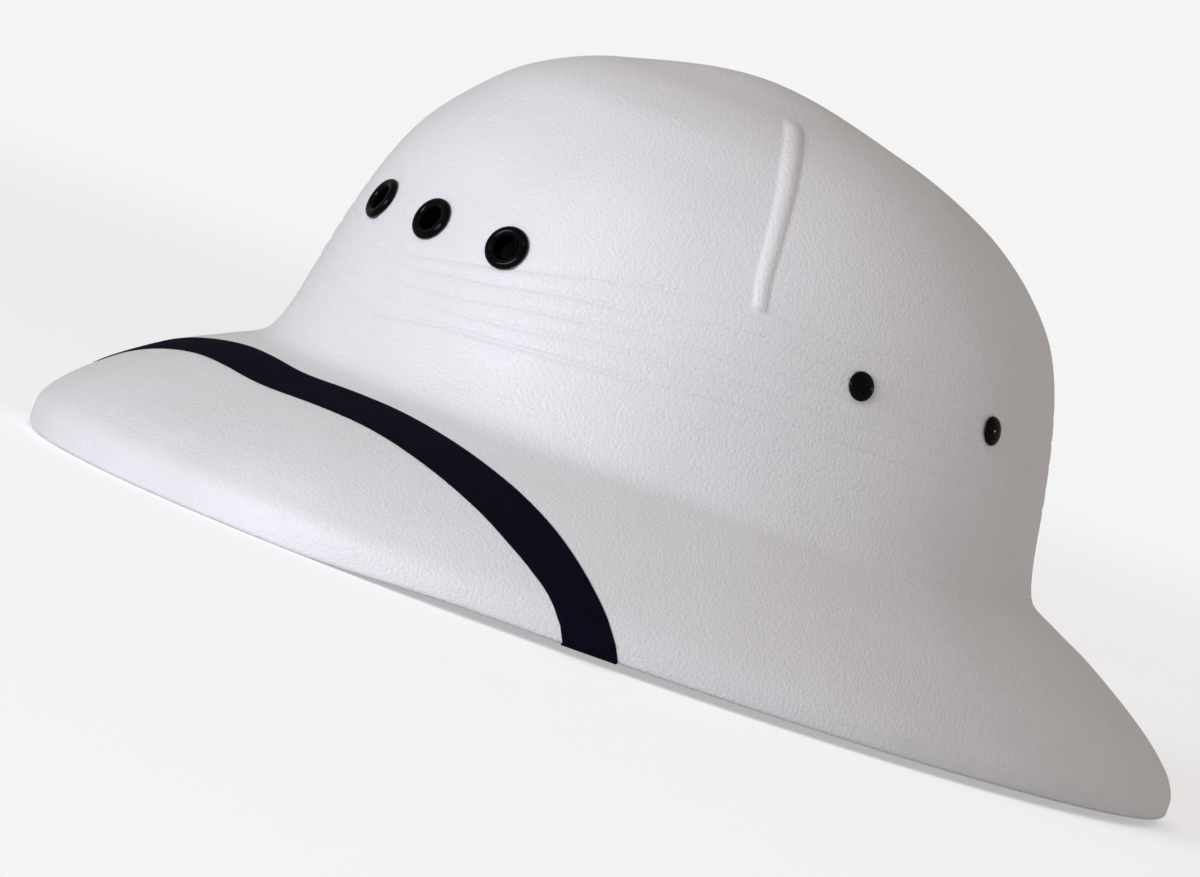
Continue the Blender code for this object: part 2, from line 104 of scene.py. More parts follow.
def cubic_between(rows: Array, slopes: Array, distance: Array, at: Array) -> Array:
    """Rows on cubic Hermite curves through the given rows.

    Args:
        rows: Values at each distance, one row each.
        slopes: How the rows change per unit of distance.
        distance: Rising distances, one for each row.
        at: The places to work out.

    Returns:
        One row for each place in at.
    """
    i = np.clip(np.searchsorted(distance, at, side="right") - 1, 0, len(distance) - 2)
    h = (distance[i + 1] - distance[i])[:, None]
    t = (at - distance[i])[:, None] / h
    return (
        (1.0 + 2.0 * t) * (1.0 - t) ** 2 * rows[i]
        + t * (1.0 - t) ** 2 * h * slopes[i]
        + t ** 2 * (3.0 - 2.0 * t) * rows[i + 1]
        + t ** 2 * (t - 1.0) * h * slopes[i + 1]
    )


# ---- meshes and objects ----

def grid_faces(rows: int, columns: int) -> Index:
    """Quads between the closed rows of a grid of points.

    Args:
        rows: Number of rows.
        columns: Number of points in each.

    Returns:
        The four points of each quad, row by row.
    """
    i, j = np.meshgrid(np.arange(rows - 1), np.arange(columns), indexing="ij")
    k = (j + 1) % columns
    quads = np.stack([i * columns + j, i * columns + k, (i + 1) * columns + k,
                      (i + 1) * columns + j], axis=-1)
    return quads.reshape(-1, 4)


def fan_faces(row_start: int, columns: int, pole: int, flip: bool) -> Index:
    """Triangles from a closed row of points to a pole.

    Args:
        row_start: First point of the row.
        columns: Number of points in it.
        pole: The point that all the triangles share.
        flip: Whether they face the other way.

    Returns:
        The three points of each triangle.
    """
    j = np.arange(columns)
    fan = np.stack([row_start + j, row_start + (j + 1) % columns, np.full(columns, pole)],
                   axis=-1)
    return fan[:, ::-1] if flip else fan


def turned_rows(radius: Array, height: Array, sides: int) -> Array:
    """A turned surface: x = r cos a, y = r sin a, z = h, in even steps of a.

    Args:
        radius: The radius of each row.
        height: The height of each row.
        sides: Number of points in each row.

    Returns:
        The points, one row of them for each radius.
    """
    turns = np.linspace(0.0, 2.0 * np.pi, sides, endpoint=False)
    radius, height = radius[:, None], height[:, None]
    return np.stack([radius * np.cos(turns), radius * np.sin(turns), height + 0.0 * turns],
                    axis=-1)


def mesh_from(name: str, points: Array, faces: list[Index]) -> bpy.types.Mesh:
    """A smooth-shaded mesh.

    Args:
        name: The mesh's name.
        points: All points, one row each.
        faces: Arrays of quads, of triangles and of larger caps.

    Returns:
        The mesh, with its faces in the order given.
    """
    loops = np.concatenate([block.ravel() for block in faces]).astype(np.int32)
    sizes = np.concatenate([np.full(len(block), block.shape[1]) for block in faces])
    starts = np.concatenate(([0], np.cumsum(sizes)[:-1])).astype(np.int32)
    mesh = bpy.data.meshes.new(name)
    mesh.vertices.add(len(points))
    mesh.vertices.foreach_set("co", np.ascontiguousarray(points, np.float32).ravel())
    mesh.loops.add(len(loops))
    mesh.loops.foreach_set("vertex_index", loops)
    mesh.polygons.add(len(starts))
    mesh.polygons.foreach_set("loop_start", starts)
    mesh.update(calc_edges=True)
    mesh.validate()
    mesh.shade_smooth()
    return mesh


def new_object(name: str, data: bpy.types.ID) -> bpy.types.Object:
    """A new object in the scene.

    Args:
        name: The object's name.
        data: Its mesh, light or camera.

    Returns:
        The object, at the origin.
    """
    made = bpy.data.objects.new(name, data)
    bpy.context.scene.collection.objects.link(made)
    return made


def add_piece(mesh: bpy.types.Mesh, stands_for: str) -> bpy.types.Object:
    """Puts a finished mesh on the helmet's body, in place of a CAD node.

    Args:
        mesh: The mesh, whose name the piece takes.
        stands_for: The CAD node.

    Returns:
        The piece.
    """
    piece = new_object(mesh.name, mesh)
    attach(piece, BODY)
    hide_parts(stands_for)
    return piece


# ---- finishes ----

def linear(hex_colour: str) -> tuple[float, float, float, float]:
    """An sRGB colour as linear light: c/12.92 when dark, else ((c + 0.055)/1.055)^2.4.

    Args:
        hex_colour: The colour, such as "#EDECF0".

    Returns:
        Red, green, blue and an alpha of 1.
    """
    parts = np.array([int(hex_colour[i:i + 2], 16) for i in (1, 3, 5)]) / 255.0
    low, high = parts / 12.92, ((parts + 0.055) / 1.055) ** 2.4
    red, green, blue = np.where(parts <= 0.04045, low, high).tolist()
    return red, green, blue, 1.0


def set_inputs(node: Node, links: dict[Any, Any] | None, values: dict[Any, Any] | None) -> None:
    """Sets a node's inputs.

    Args:
        node: The node.
        links: For each of its inputs, the output that feeds it, or a node for its first output.
        values: For each of its inputs, its own value.
    """
    for key, value in (values or {}).items():
        node.inputs[key].default_value = value
    for key, source in (links or {}).items():
        output = source.outputs[0] if isinstance(source, Node) else source
        node.id_data.links.new(output, node.inputs[key])


def add_node(tree: Tree, kind: str, links: dict[Any, Any] | None = None,
             values: dict[Any, Any] | None = None, **settings: Any) -> Node:
    """Adds a node.

    Args:
        tree: The node tree.
        kind: The node's type.
        links: For each of its inputs, the output that feeds it, or a node for its first output.
        values: For each of its inputs, its own value.
        settings: The node's other settings.

    Returns:
        The node.
    """
    node = tree.nodes.new(kind)
    for name, value in settings.items():
        setattr(node, name, value)
    set_inputs(node, links, values)
    return node


def new_material(name: str) -> tuple[bpy.types.Material, Tree, Node]:
    """A new material.

    Args:
        name: The material's name.

    Returns:
        The material, its node tree and its Principled shader.
    """
    material = bpy.data.materials.new(name)
    material.use_nodes = True
    tree = material.node_tree
    return material, tree, tree.nodes["Principled BSDF"]


@dataclass(frozen=True)
class MouldedPolyethylene:
    """Blow-moulded white high-density polyethylene.

    The mould's sand-blasted face leaves a fine pebbled grain, so the eye sees a satin white
    whose highlight breaks up into a soft sparkle.
    """

    name: str
    colour: str                     # where the plastic is clean and new
    handled: str                    # where hands and shelves have greyed it
    grain: float = 0.00084          # pitch of the pebbles
    grain_soft: float = 0.6         # how far each pebble runs into the next
    grain_depth: float = 0.00012
    grit: float = 0.00040           # pitch of the finer grit between them
    cloud: float = 0.045            # size of the faint changes of tone
    cloud_range: tuple[float, float] = (0.40, 0.72)     # of the noise, from none to whole
    cloud_share: float = 0.55       # of the handled colour in a whole cloud
    scuff: float = 0.0075           # size of the scuffs
    scuff_range: tuple[float, float] = (0.30, 0.70)
    edge_height: float = 0.004      # height over which the brim's edge is greyed
    edge_share: float = 0.35        # of the handled colour at the very edge
    roughness: float = 0.44
    polished: float = 0.05          # how much smoother it is between the scuffs
    scuffed: float = 0.07           # and how much rougher in them
    ior: float = 1.51

    def build(self) -> bpy.types.Material:
        """Makes the material, with its patterns in object coordinates, in metres.

        Returns:
            The material.
        """
        material, tree, shader = new_material(self.name)
        place = add_node(tree, "ShaderNodeTexCoord").outputs["Object"]
        cloud = add_node(tree, "ShaderNodeTexNoise", {"Vector": place},
                         {"Scale": 1.0 / self.cloud, "Detail": 4.0, "Roughness": 0.55})
        scuff = add_node(tree, "ShaderNodeTexNoise", {"Vector": place},
                         {"Scale": 1.0 / self.scuff, "Detail": 5.0, "Roughness": 0.65})
        height = add_node(tree, "ShaderNodeSeparateXYZ", {"Vector": place}).outputs["Z"]
        edge = add_node(tree, "ShaderNodeMapRange", {"Value": height},
                        {"From Min": self.edge_height, "From Max": 0.0,
                         "To Max": self.edge_share})
        tone = add_node(tree, "ShaderNodeMapRange", {"Value": cloud},
                        {"From Min": self.cloud_range[0], "From Max": self.cloud_range[1],
                         "To Max": self.cloud_share})
        worn = add_node(tree, "ShaderNodeMath", {0: edge, 1: scuff}, operation="MULTIPLY")
        greyed = add_node(tree, "ShaderNodeMath", {0: worn, 1: tone}, operation="ADD",
                          use_clamp=True)
        colour = add_node(tree, "ShaderNodeMix", {"Factor": greyed},
                          {MIX_A: linear(self.colour), MIX_B: linear(self.handled)},
                          data_type="RGBA")
        pebbles = add_node(tree, "ShaderNodeTexVoronoi", {"Vector": place},
                           {"Scale": 1.0 / self.grain, "Smoothness": self.grain_soft},
                           feature="SMOOTH_F1")
        grit = add_node(tree, "ShaderNodeTexNoise", {"Vector": place},
                        {"Scale": 1.0 / self.grit, "Detail": 2.0})
        relief = add_node(tree, "ShaderNodeMath", {0: pebbles, 1: grit}, operation="SUBTRACT")
        bump = add_node(tree, "ShaderNodeBump", {"Height": relief},
                        {"Strength": 1.0, "Distance": self.grain_depth}, invert=True)
        gloss = add_node(tree, "ShaderNodeMapRange", {"Value": scuff},
                         {"From Min": self.scuff_range[0], "From Max": self.scuff_range[1],
                          "To Min": self.roughness - self.polished,
                          "To Max": self.roughness + self.scuffed})
        set_inputs(shader, {"Base Color": colour.outputs[MIX_RESULT], "Normal": bump,
                            "Roughness": gloss}, {"IOR": self.ior})
        return material


@dataclass(frozen=True)
class RibbedElastic:
    """Woven elastic of navy-black polyester over rubber, with fine ribs across it.

    The yarn drinks the light, so the eye sees almost black with a faint blue bloom at grazing
    angles, and thin darker lines of painted shade in the grooves between the ribs.
    """

    uv_name: str                    # UV map, in metres along the strap and across it
    rib_pitch: float
    name: str = "navy_ribbed_elastic"
    yarn: str = "#141127"
    # painted shade: the near-black colour that the grooves between the ribs take
    gap: str = "#010104"
    bloom: str = "#3A3F6B"
    fibre: float = 0.00028          # twist of the yarn, drawn a little coarse so that it shows
    fibre_depth: float = 0.00003
    fibre_strength: float = 0.8
    speck_range: tuple[float, float] = (0.35, 0.70)     # of the noise, from dark to light yarn
    speck_top: float = 1.3          # brightness of the lightest specks
    patch: float = 0.0056           # size of the paler patches
    patch_share: float = 0.2
    roughness: float = 0.86
    roughness_swing: float = 0.08   # either way, from fibre to fibre
    sheen: float = 0.02
    sheen_roughness: float = 0.45
    specular: float = 0.07          # fibres scatter most of what a smooth face would reflect

    def build(self) -> bpy.types.Material:
        """Makes the material, on the strap's own UV map.

        The ribs are |cos| of the distance along, painted dark with shade where it is 0, in the
        grooves.

        Returns:
            The material.
        """
        material, tree, shader = new_material(self.name)
        uv = add_node(tree, "ShaderNodeUVMap", uv_map=self.uv_name)
        along = add_node(tree, "ShaderNodeSeparateXYZ", {"Vector": uv}).outputs["X"]
        phase = add_node(tree, "ShaderNodeMath", {0: along}, {1: math.pi / self.rib_pitch},
                         operation="MULTIPLY")
        wave = add_node(tree, "ShaderNodeMath", {0: phase}, operation="COSINE")
        crest = add_node(tree, "ShaderNodeMath", {0: wave}, operation="ABSOLUTE")
        fibres = add_node(tree, "ShaderNodeTexNoise", {"Vector": uv},
                          {"Scale": 1.0 / self.fibre, "Detail": 3.0, "Roughness": 0.7})
        patch = add_node(tree, "ShaderNodeTexNoise", {"Vector": uv},
                         {"Scale": 1.0 / self.patch, "Detail": 2.0})
        speck = add_node(tree, "ShaderNodeMapRange", {"Value": fibres},
                         {"From Min": self.speck_range[0], "From Max": self.speck_range[1],
                          "To Max": self.speck_top})
        light = add_node(tree, "ShaderNodeMath", {0: crest, 1: speck}, operation="MULTIPLY")
        lift = add_node(tree, "ShaderNodeMath", {0: patch}, {1: self.patch_share},
                        operation="MULTIPLY")
        shade = add_node(tree, "ShaderNodeMath", {0: light, 1: lift}, operation="ADD",
                         use_clamp=True)
        # painted shade: towards the gap colour where the crest is low, in the grooves between the
        # ribs
        colour = add_node(tree, "ShaderNodeMix", {"Factor": shade},
                          {MIX_A: linear(self.gap), MIX_B: linear(self.yarn)},
                          data_type="RGBA")
        bump = add_node(tree, "ShaderNodeBump", {"Height": fibres},
                        {"Strength": self.fibre_strength, "Distance": self.fibre_depth})
        rough = add_node(tree, "ShaderNodeMapRange", {"Value": fibres},
                         {"To Min": self.roughness - self.roughness_swing,
                          "To Max": self.roughness + self.roughness_swing})
        set_inputs(shader, {"Base Color": colour.outputs[MIX_RESULT], "Normal": bump,
                            "Roughness": rough},
                   {"Specular IOR Level": self.specular, "Sheen Weight": self.sheen,
                    "Sheen Roughness": self.sheen_roughness, "Sheen Tint": linear(self.bloom)})
        return material


@dataclass(frozen=True)
class BlackEnamel:
    """Stoved black enamel on stamped brass.

    The paint pools to a deep gloss, so the eye sees black with sharp small highlights and a
    slight orange-peel ripple in them.
    """

    name: str = "black_stoved_enamel"
    colour: str = "#060607"
    rubbed: str = "#121211"
    ripple: float = 0.0009          # pitch of the orange peel
    ripple_depth: float = 0.000004
    rub: float = 0.0022             # size of the rubbed patches
    rub_range: tuple[float, float] = (0.52, 0.75)       # of the noise, from none to whole
    roughness: float = 0.10
    rub_roughness: float = 0.20     # more, where it is rubbed
    specular: float = 0.08          # low, so that the pale room barely shows in the black

    def build(self) -> bpy.types.Material:
        """Makes the material, with its patterns in object coordinates, in metres.

        Returns:
            The material.
        """
        material, tree, shader = new_material(self.name)
        place = add_node(tree, "ShaderNodeTexCoord").outputs["Object"]
        rub = add_node(tree, "ShaderNodeTexNoise", {"Vector": place},
                       {"Scale": 1.0 / self.rub, "Detail": 5.0, "Roughness": 0.7})
        worn = add_node(tree, "ShaderNodeMapRange", {"Value": rub},
                        {"From Min": self.rub_range[0], "From Max": self.rub_range[1]})
        colour = add_node(tree, "ShaderNodeMix", {"Factor": worn},
                          {MIX_A: linear(self.colour), MIX_B: linear(self.rubbed)},
                          data_type="RGBA")
        rough = add_node(tree, "ShaderNodeMapRange", {"Value": worn},
                         {"To Min": self.roughness,
                          "To Max": self.roughness + self.rub_roughness})
        peel = add_node(tree, "ShaderNodeTexNoise", {"Vector": place},
                        {"Scale": 1.0 / self.ripple, "Detail": 1.0})
        bump = add_node(tree, "ShaderNodeBump", {"Height": peel},
                        {"Strength": 1.0, "Distance": self.ripple_depth})
        set_inputs(shader, {"Base Color": colour.outputs[MIX_RESULT], "Normal": bump,
                            "Roughness": rough}, {"Specular IOR Level": self.specular})
        return material


@dataclass(frozen=True)
class PalePaper:
    """Matt pale studio paper with a little light of its own, as on a light table.

    It scatters the light evenly, so the eye sees soft shadows and no shine. Towards its rim it
    turns clear, and the room shows instead.
    """

    name: str = "pale_paper"
    colour: str = "#F0F2F6"
    glow: str = "#F7F7F8"
    glow_strength: float = 0.47     # where the camera sees it
    roughness: float = 0.9
    specular: float = 0.2
    fade_start: float = 0.6         # metres from the middle where it begins to clear
    fade_end: float = 2.4

    def build(self) -> bpy.types.Material:
        """Makes the material, whose fade is a smooth step of the distance from the middle.

        Returns:
            The material.
        """
        material, tree, shader = new_material(self.name)
        place = add_node(tree, "ShaderNodeTexCoord").outputs["Object"]
        far = add_node(tree, "ShaderNodeVectorMath", {0: place}, operation="LENGTH")
        fade = add_node(tree, "ShaderNodeMapRange", {"Value": far.outputs["Value"]},
                        {"From Min": self.fade_start, "From Max": self.fade_end},
                        interpolation_type="SMOOTHSTEP")
        clear = add_node(tree, "ShaderNodeBsdfTransparent")
        seen = add_node(tree, "ShaderNodeLightPath").outputs["Is Camera Ray"]
        glow = add_node(tree, "ShaderNodeMath", {0: seen}, {1: self.glow_strength},
                        operation="MULTIPLY")
        set_inputs(shader, {"Emission Strength": glow},
                   {"Base Color": linear(self.colour), "Roughness": self.roughness,
                    "Specular IOR Level": self.specular, "Emission Color": linear(self.glow)})
        mix = add_node(tree, "ShaderNodeMixShader", {0: fade, 1: shader, 2: clear})
        set_inputs(tree.nodes["Material Output"], {"Surface": mix}, None)
        return material


# ---- the outer surface as a function of angle and distance up its profile ----

@dataclass(frozen=True)
class HelmetSurface:
    """The plain outer surface of the crown and the brim, without folds and ribs.

    A level section is an ellipse about a centre on the Y axis. Its half width, half length and
    centre change along a side profile, which is a cubic curve through the sections below.
    """

    # height, half width, half length, centre Y
    sections: tuple[tuple[float, float, float, float], ...] = (
        (0.0000, 0.13695, 0.1625, 0.0000),
        (0.0060, 0.13695, 0.1625, 0.0000),
        (0.0100, 0.1356, 0.1610, 0.0000),
        (0.0160, 0.1310, 0.1552, 0.0000),
        (0.0220, 0.1248, 0.1472, 0.0000),
        (0.0280, 0.1173, 0.1376, 0.0000),
        (0.0330, 0.1100, 0.1284, 0.0002),
        (0.0360, 0.1047, 0.1215, 0.0003),
        (0.0380, 0.1012, 0.1170, 0.0004),
        (0.0398, 0.0979, 0.1127, 0.0005),
        (0.0412, 0.0959, 0.1102, 0.0005),
        (0.0430, 0.0946, 0.1086, 0.0006),
        (0.0460, 0.0935, 0.1072, 0.0007),
        (0.0520, 0.0920, 0.1054, 0.0008),
        (0.0700, 0.0887, 0.1018, 0.0009),
        (0.0880, 0.0845, 0.0970, 0.0010),
        (0.1030, 0.0789, 0.0905, 0.0008),
        (0.1160, 0.0693, 0.0795, -0.0004),
        (0.1270, 0.0562, 0.0645, -0.0033),
        (0.1360, 0.0360, 0.0414, -0.0063),
        (0.1435, 0.0000, 0.0000, -0.0080),
    )
    wall: float = 0.0024
    gap: float = 0.0003             # between the outer face and what lies on it
    inner_gap: float = 0.0005       # and on the inner face
    front_corners: float = -0.009   # the brim's plan is this much slimmer at its front corners
    rear_corners: float = 0.024     # and fuller at its rear ones
    corners_full: float = 0.012     # height up to which it has these corners
    corners_none: float = 0.042     # height from which it has none
    side_rise: float = 0.0020       # the lower edge arches up by this much at the sides
    arch_start: float = 22.0        # degrees from the front and rear tips where it begins
    arch_end: float = 42.0
    lip_height: float = 0.0060      # the arch of the edge has died out here
    samples: int = 1600             # of the profile
    step_angle: float = 0.25        # degrees either side, for directions on the surface
    step_distance: float = 0.00025  # along the profile either side, for the same

    def profile(self) -> tuple[Array, Array]:
        """The side profile, finely sampled.

        Each slope is the harmonic mean of the secants beside it, so the curve never swings past
        a section. It starts upright at the edge and ends level at the top.

        Returns:
            Distances along the profile, and the section at each.
        """
        rows = np.array(self.sections)
        distance = run_along(rows[:, :2])
        secants = np.diff(rows, axis=0) / np.diff(distance)[:, None]
        product = secants[:-1] * secants[1:]
        total = np.where(product > 0.0, secants[:-1] + secants[1:], 1.0)
        slopes = np.zeros_like(rows)
        slopes[0] = secants[0]
        slopes[1:-1] = np.where(product > 0.0, 2.0 * product / total, 0.0)
        slopes[-1] = (0.0, -1.0, secants[-1, 2] / -secants[-1, 1], 0.0)
        at = np.linspace(0.0, distance[-1], self.samples)
        return at, cubic_between(rows, slopes, distance, at)

    def inner_seat(self) -> float:
        """The height above the outer face, negative, of what lies on the inner one."""
        return -self.wall - self.inner_gap

    def length(self) -> float:
        """The length of the side profile, from the edge to the top."""
        return float(self.profile()[0][-1])

    def distance_at(self, height: Array) -> Array:
        """The distance along the profile at which it reaches a height."""
        at, rows = self.profile()
        return np.interp(height, rows[:, 0], at)

    def level(self, distance: Array) -> tuple[Array, Array]:
        """The height and the mean radius of the helmet at a distance up the profile.

        Args:
            distance: Metres up the side profile.

        Returns:
            The heights and the radii, in the same shape.
        """
        at, rows = self.profile()
        height, half_width, half_length = (np.interp(distance, at, rows[:, i]) for i in range(3))
        return height, 0.5 * (half_width + half_length)

    def points(self, angle: Array, distance: Array) -> Array:
        """Points of the surface: x = f w sin(angle), y = centre - f l cos(angle), z = height.

        w, l and f are the half width, the half length and the fullness, which is 1 but for the
        brim's corners, where it changes as the square of sin(2 angle).

        Args:
            angle: Degrees round the helmet.
            distance: Metres up the side profile, in the same shape.

        Returns:
            The points, with x, y and z in the last axis.
        """
        at, rows = self.profile()
        height, half_width, half_length, centre = (
            np.interp(distance, at, rows[:, i]) for i in range(4)
        )
        turn = np.radians(angle)
        corners = np.where(np.cos(turn) > 0.0, self.front_corners, self.rear_corners)
        low = 1.0 - smooth_step(height, self.corners_full, self.corners_none)
        fullness = 1.0 + corners * low * np.sin(2.0 * turn) ** 2
        return np.stack([
            fullness * half_width * np.sin(turn),
            centre - fullness * half_length * np.cos(turn),
            height,
        ], axis=-1)

    def directions(self, angle: Array, distance: Array) -> tuple[Array, Array]:
        """How a point moves, from the points a small step to either side.

        Args:
            angle: Degrees round the helmet.
            distance: Metres up the side profile, in the same shape.

        Returns:
            Its movement round the helmet per degree, and up the profile per metre.
        """
        low = np.maximum(distance - self.step_distance, 0.0)
        high = np.minimum(distance + self.step_distance, self.length())
        ahead = (self.points(angle + self.step_angle, distance)
                 - self.points(angle - self.step_angle, distance))
        up = self.points(angle, high) - self.points(angle, low)
        return ahead / (2.0 * self.step_angle), up / (high - low)[..., None]

    def normals(self, angle: Array, distance: Array) -> Array:
        """Outward normals, square to both directions."""
        return unit(np.cross(*self.directions(angle, distance)))

    def raised(self, angle: Array, distance: Array, relief: Array | float) -> Array:
        """Points raised along the normal, or sunk where the relief is negative."""
        relief = np.asarray(relief, float)[..., None]
        return self.points(angle, distance) + self.normals(angle, distance) * relief

    def edge_rise(self, angle: Array) -> Array:
        """How far the lower edge stands above the floor at an angle."""
        from_tip = np.minimum(from_front(angle), 180.0 - from_front(angle))
        return self.side_rise * smooth_step(from_tip, self.arch_start, self.arch_end)

    def frame(self, angle: float, height: float) -> Matrix:
        """A frame on the surface.

        Args:
            angle: Degrees round the helmet.
            height: Metres above the floor.

        Returns:
            The frame, whose Z axis is the outward normal.
        """
        at = np.array(angle), self.distance_at(np.array(height))
        turn = Vector((0.0, 0.0, 1.0)).rotation_difference(Vector(self.normals(*at)))
        return Matrix.Translation(Vector(self.points(*at))) @ turn.to_matrix().to_4x4()


# ---- crown and brim ----

@dataclass(frozen=True)
class PuggareeFolds:
    """The band of moulded folds round the crown, after a wound cloth.

    Each fold is a shallow crease whose height follows a line through its table row. Between
    two creases the wall swells back to the plain surface as |sin| of the way across. A narrow
    groove, a bell curve of the distance from the line, draws each crease sharp.
    """

    angles: tuple[float, ...] = (0.0, 15.0, 30.0, 45.0, 60.0, 90.0, 180.0)
    # height of each crease at those angles
    heights: tuple[tuple[float, ...], ...] = (
        (0.0570, 0.0600, 0.0623, 0.0643, 0.0662, 0.0660, 0.0650),
        (0.0622, 0.0641, 0.0675, 0.0700, 0.0717, 0.0712, 0.0702),
        (0.0663, 0.0682, 0.0720, 0.0753, 0.0772, 0.0765, 0.0755),
        (0.0702, 0.0730, 0.0775, 0.0810, 0.0837, 0.0828, 0.0815),
        (0.0727, 0.0775, 0.0832, 0.0873, 0.0898, 0.0890, 0.0875),
    )
    depth: float = 0.00034
    depth_swing: float = 0.2        # share by which the depth of a fold comes and goes
    depth_waves: float = 3.0        # times round the crown
    depth_phase: float = 1.9        # radians from fold to fold
    groove_depth: float = 0.00027
    groove_width: float = 0.00050
    faint_share: float = 0.45       # of the groove that the upper creases have at the front
    faint_to: float = 38.0          # degrees from the front at which they are whole
    rear_share: float = 0.30        # of the depth that is left behind the rear rivets
    fade_start: float = 58.0
    fade_end: float = 100.0
    edge: float = 0.0022            # from the outermost creases to the plain wall
    sharpness: float = 0.42         # below 1 the crease is narrower than the swell
    wander: float = 0.00025         # how far a crease strays from its line
    # share of the stray, waves round the crown, radians from crease to crease
    wander_waves: tuple[tuple[float, float, float], ...] = ((1.0, 7.0, 2.1), (0.6, 13.0, 4.7))

    def crease(self, index: int, angle: Array) -> Array:
        """A crease's height: its line through the table, and a slight wander in sine waves.

        Args:
            index: Which crease, from the lowest.
            angle: Degrees round the helmet.

        Returns:
            The heights.
        """
        turn = np.radians(angle)
        stray = sum(share * np.sin(waves * turn + phase * index)
                    for share, waves, phase in self.wander_waves)
        line = np.interp(from_front(angle), self.angles, self.heights[index])
        return line + self.wander * stray

    def relief(self, angle: Array, height: Array) -> Array:
        """How far the surface is sunk, by the folds and by the grooves at their creases.

        The lowest and the highest fold run out to the plain wall as a square.

        Args:
            angle: Degrees round the helmet.
            height: Metres above the floor, in the same shape.

        Returns:
            The relief, as a negative number.
        """
        lines = [self.crease(i, angle) for i in range(len(self.heights))]
        lines = [lines[0] - self.edge, *lines, lines[-1] + self.edge]
        last = len(lines) - 2
        sunk = np.zeros_like(height)
        for i, (low, high) in enumerate(zip(lines, lines[1:])):
            share = np.clip((height - low) / (high - low), 0.0, 1.0)
            if i == 0:
                part = share ** 2
            elif i == last:
                part = (1.0 - share) ** 2
            else:
                part = 1.0 - np.sin(np.pi * share) ** self.sharpness
            wave = np.sin(self.depth_waves * np.radians(angle) + self.depth_phase * i)
            strength = 1.0 - self.depth_swing + self.depth_swing * wave
            sunk = np.where((height >= low) & (height < high), part * strength, sunk)
        whole = smooth_step(from_front(angle), 0.0, self.faint_to)
        faint = self.faint_share + (1.0 - self.faint_share) * whole
        grooves = sum((1.0 if i == 0 else faint)
                      * np.exp(-((height - line) / self.groove_width) ** 2)
                      for i, line in enumerate(lines[1:-1]))
        behind = smooth_step(from_front(angle), self.fade_start, self.fade_end)
        fade = 1.0 - (1.0 - self.rear_share) * behind
        return -fade * (self.depth * sunk + self.groove_depth * grooves)


@dataclass(frozen=True)
class CrownRib:
    """One of the pair of raised ribs that run up the crown."""

    # height and angle of its middle line
    line: tuple[tuple[float, float], ...] = (
        (0.0898, 57.3), (0.0960, 56.6), (0.1030, 56.4), (0.1100, 56.5), (0.1180, 57.1),
        (0.1270, 58.6), (0.1310, 59.9), (0.1360, 61.8),
    )
    low: float = 0.0912
    top: float = 0.1362
    width: float = 0.0049
    height: float = 0.0010
    taper: float = 0.0030           # length of its soft ends
    narrow: float = 0.76            # share of its width at the lower end
    narrow_to: float = 0.130        # height from which it has its full width
    round_share: float = 0.6        # half-round, the rest a softer cosine with a fillet
    band: float = 1.3               # half widths that get close columns

    def middle(self, height: Array) -> Array:
        """The rib's middle line, a cubic curve through its table.

        Args:
            height: Metres above the floor.

        Returns:
            The angle at each height.
        """
        heights, angles = np.array(self.line).T
        slopes = np.gradient(angles, heights)[:, None]
        at = np.clip(height, heights[0], heights[-1])
        return cubic_between(angles[:, None], slopes, heights, at.ravel()).reshape(at.shape)

    def relief(self, angle: Array, height: Array, radius: Array) -> Array:
        """The rib's height above the wall: half-round across it, with soft ends.

        Args:
            angle: Degrees round the helmet.
            height: Metres above the floor, in the same shape.
            radius: The helmet's mean radius there.

        Returns:
            The relief.
        """
        share = self.narrow + (1.0 - self.narrow) * smooth_step(height, self.low, self.narrow_to)
        half = 0.5 * self.width * share
        off = np.radians(np.abs(angle) - self.middle(height)) * radius / half
        inner = np.sqrt(np.clip(1.0 - off ** 2, 0.0, 1.0))
        soft = 0.5 + 0.5 * np.cos(np.pi * np.clip(off / self.band, -1.0, 1.0))
        across = (self.round_share * inner + (1.0 - self.round_share) * soft) * share
        along = (smooth_step(height, self.low - self.taper, self.low)
                 * (1.0 - smooth_step(height, self.top - self.taper, self.top)))
        return self.height * across * along


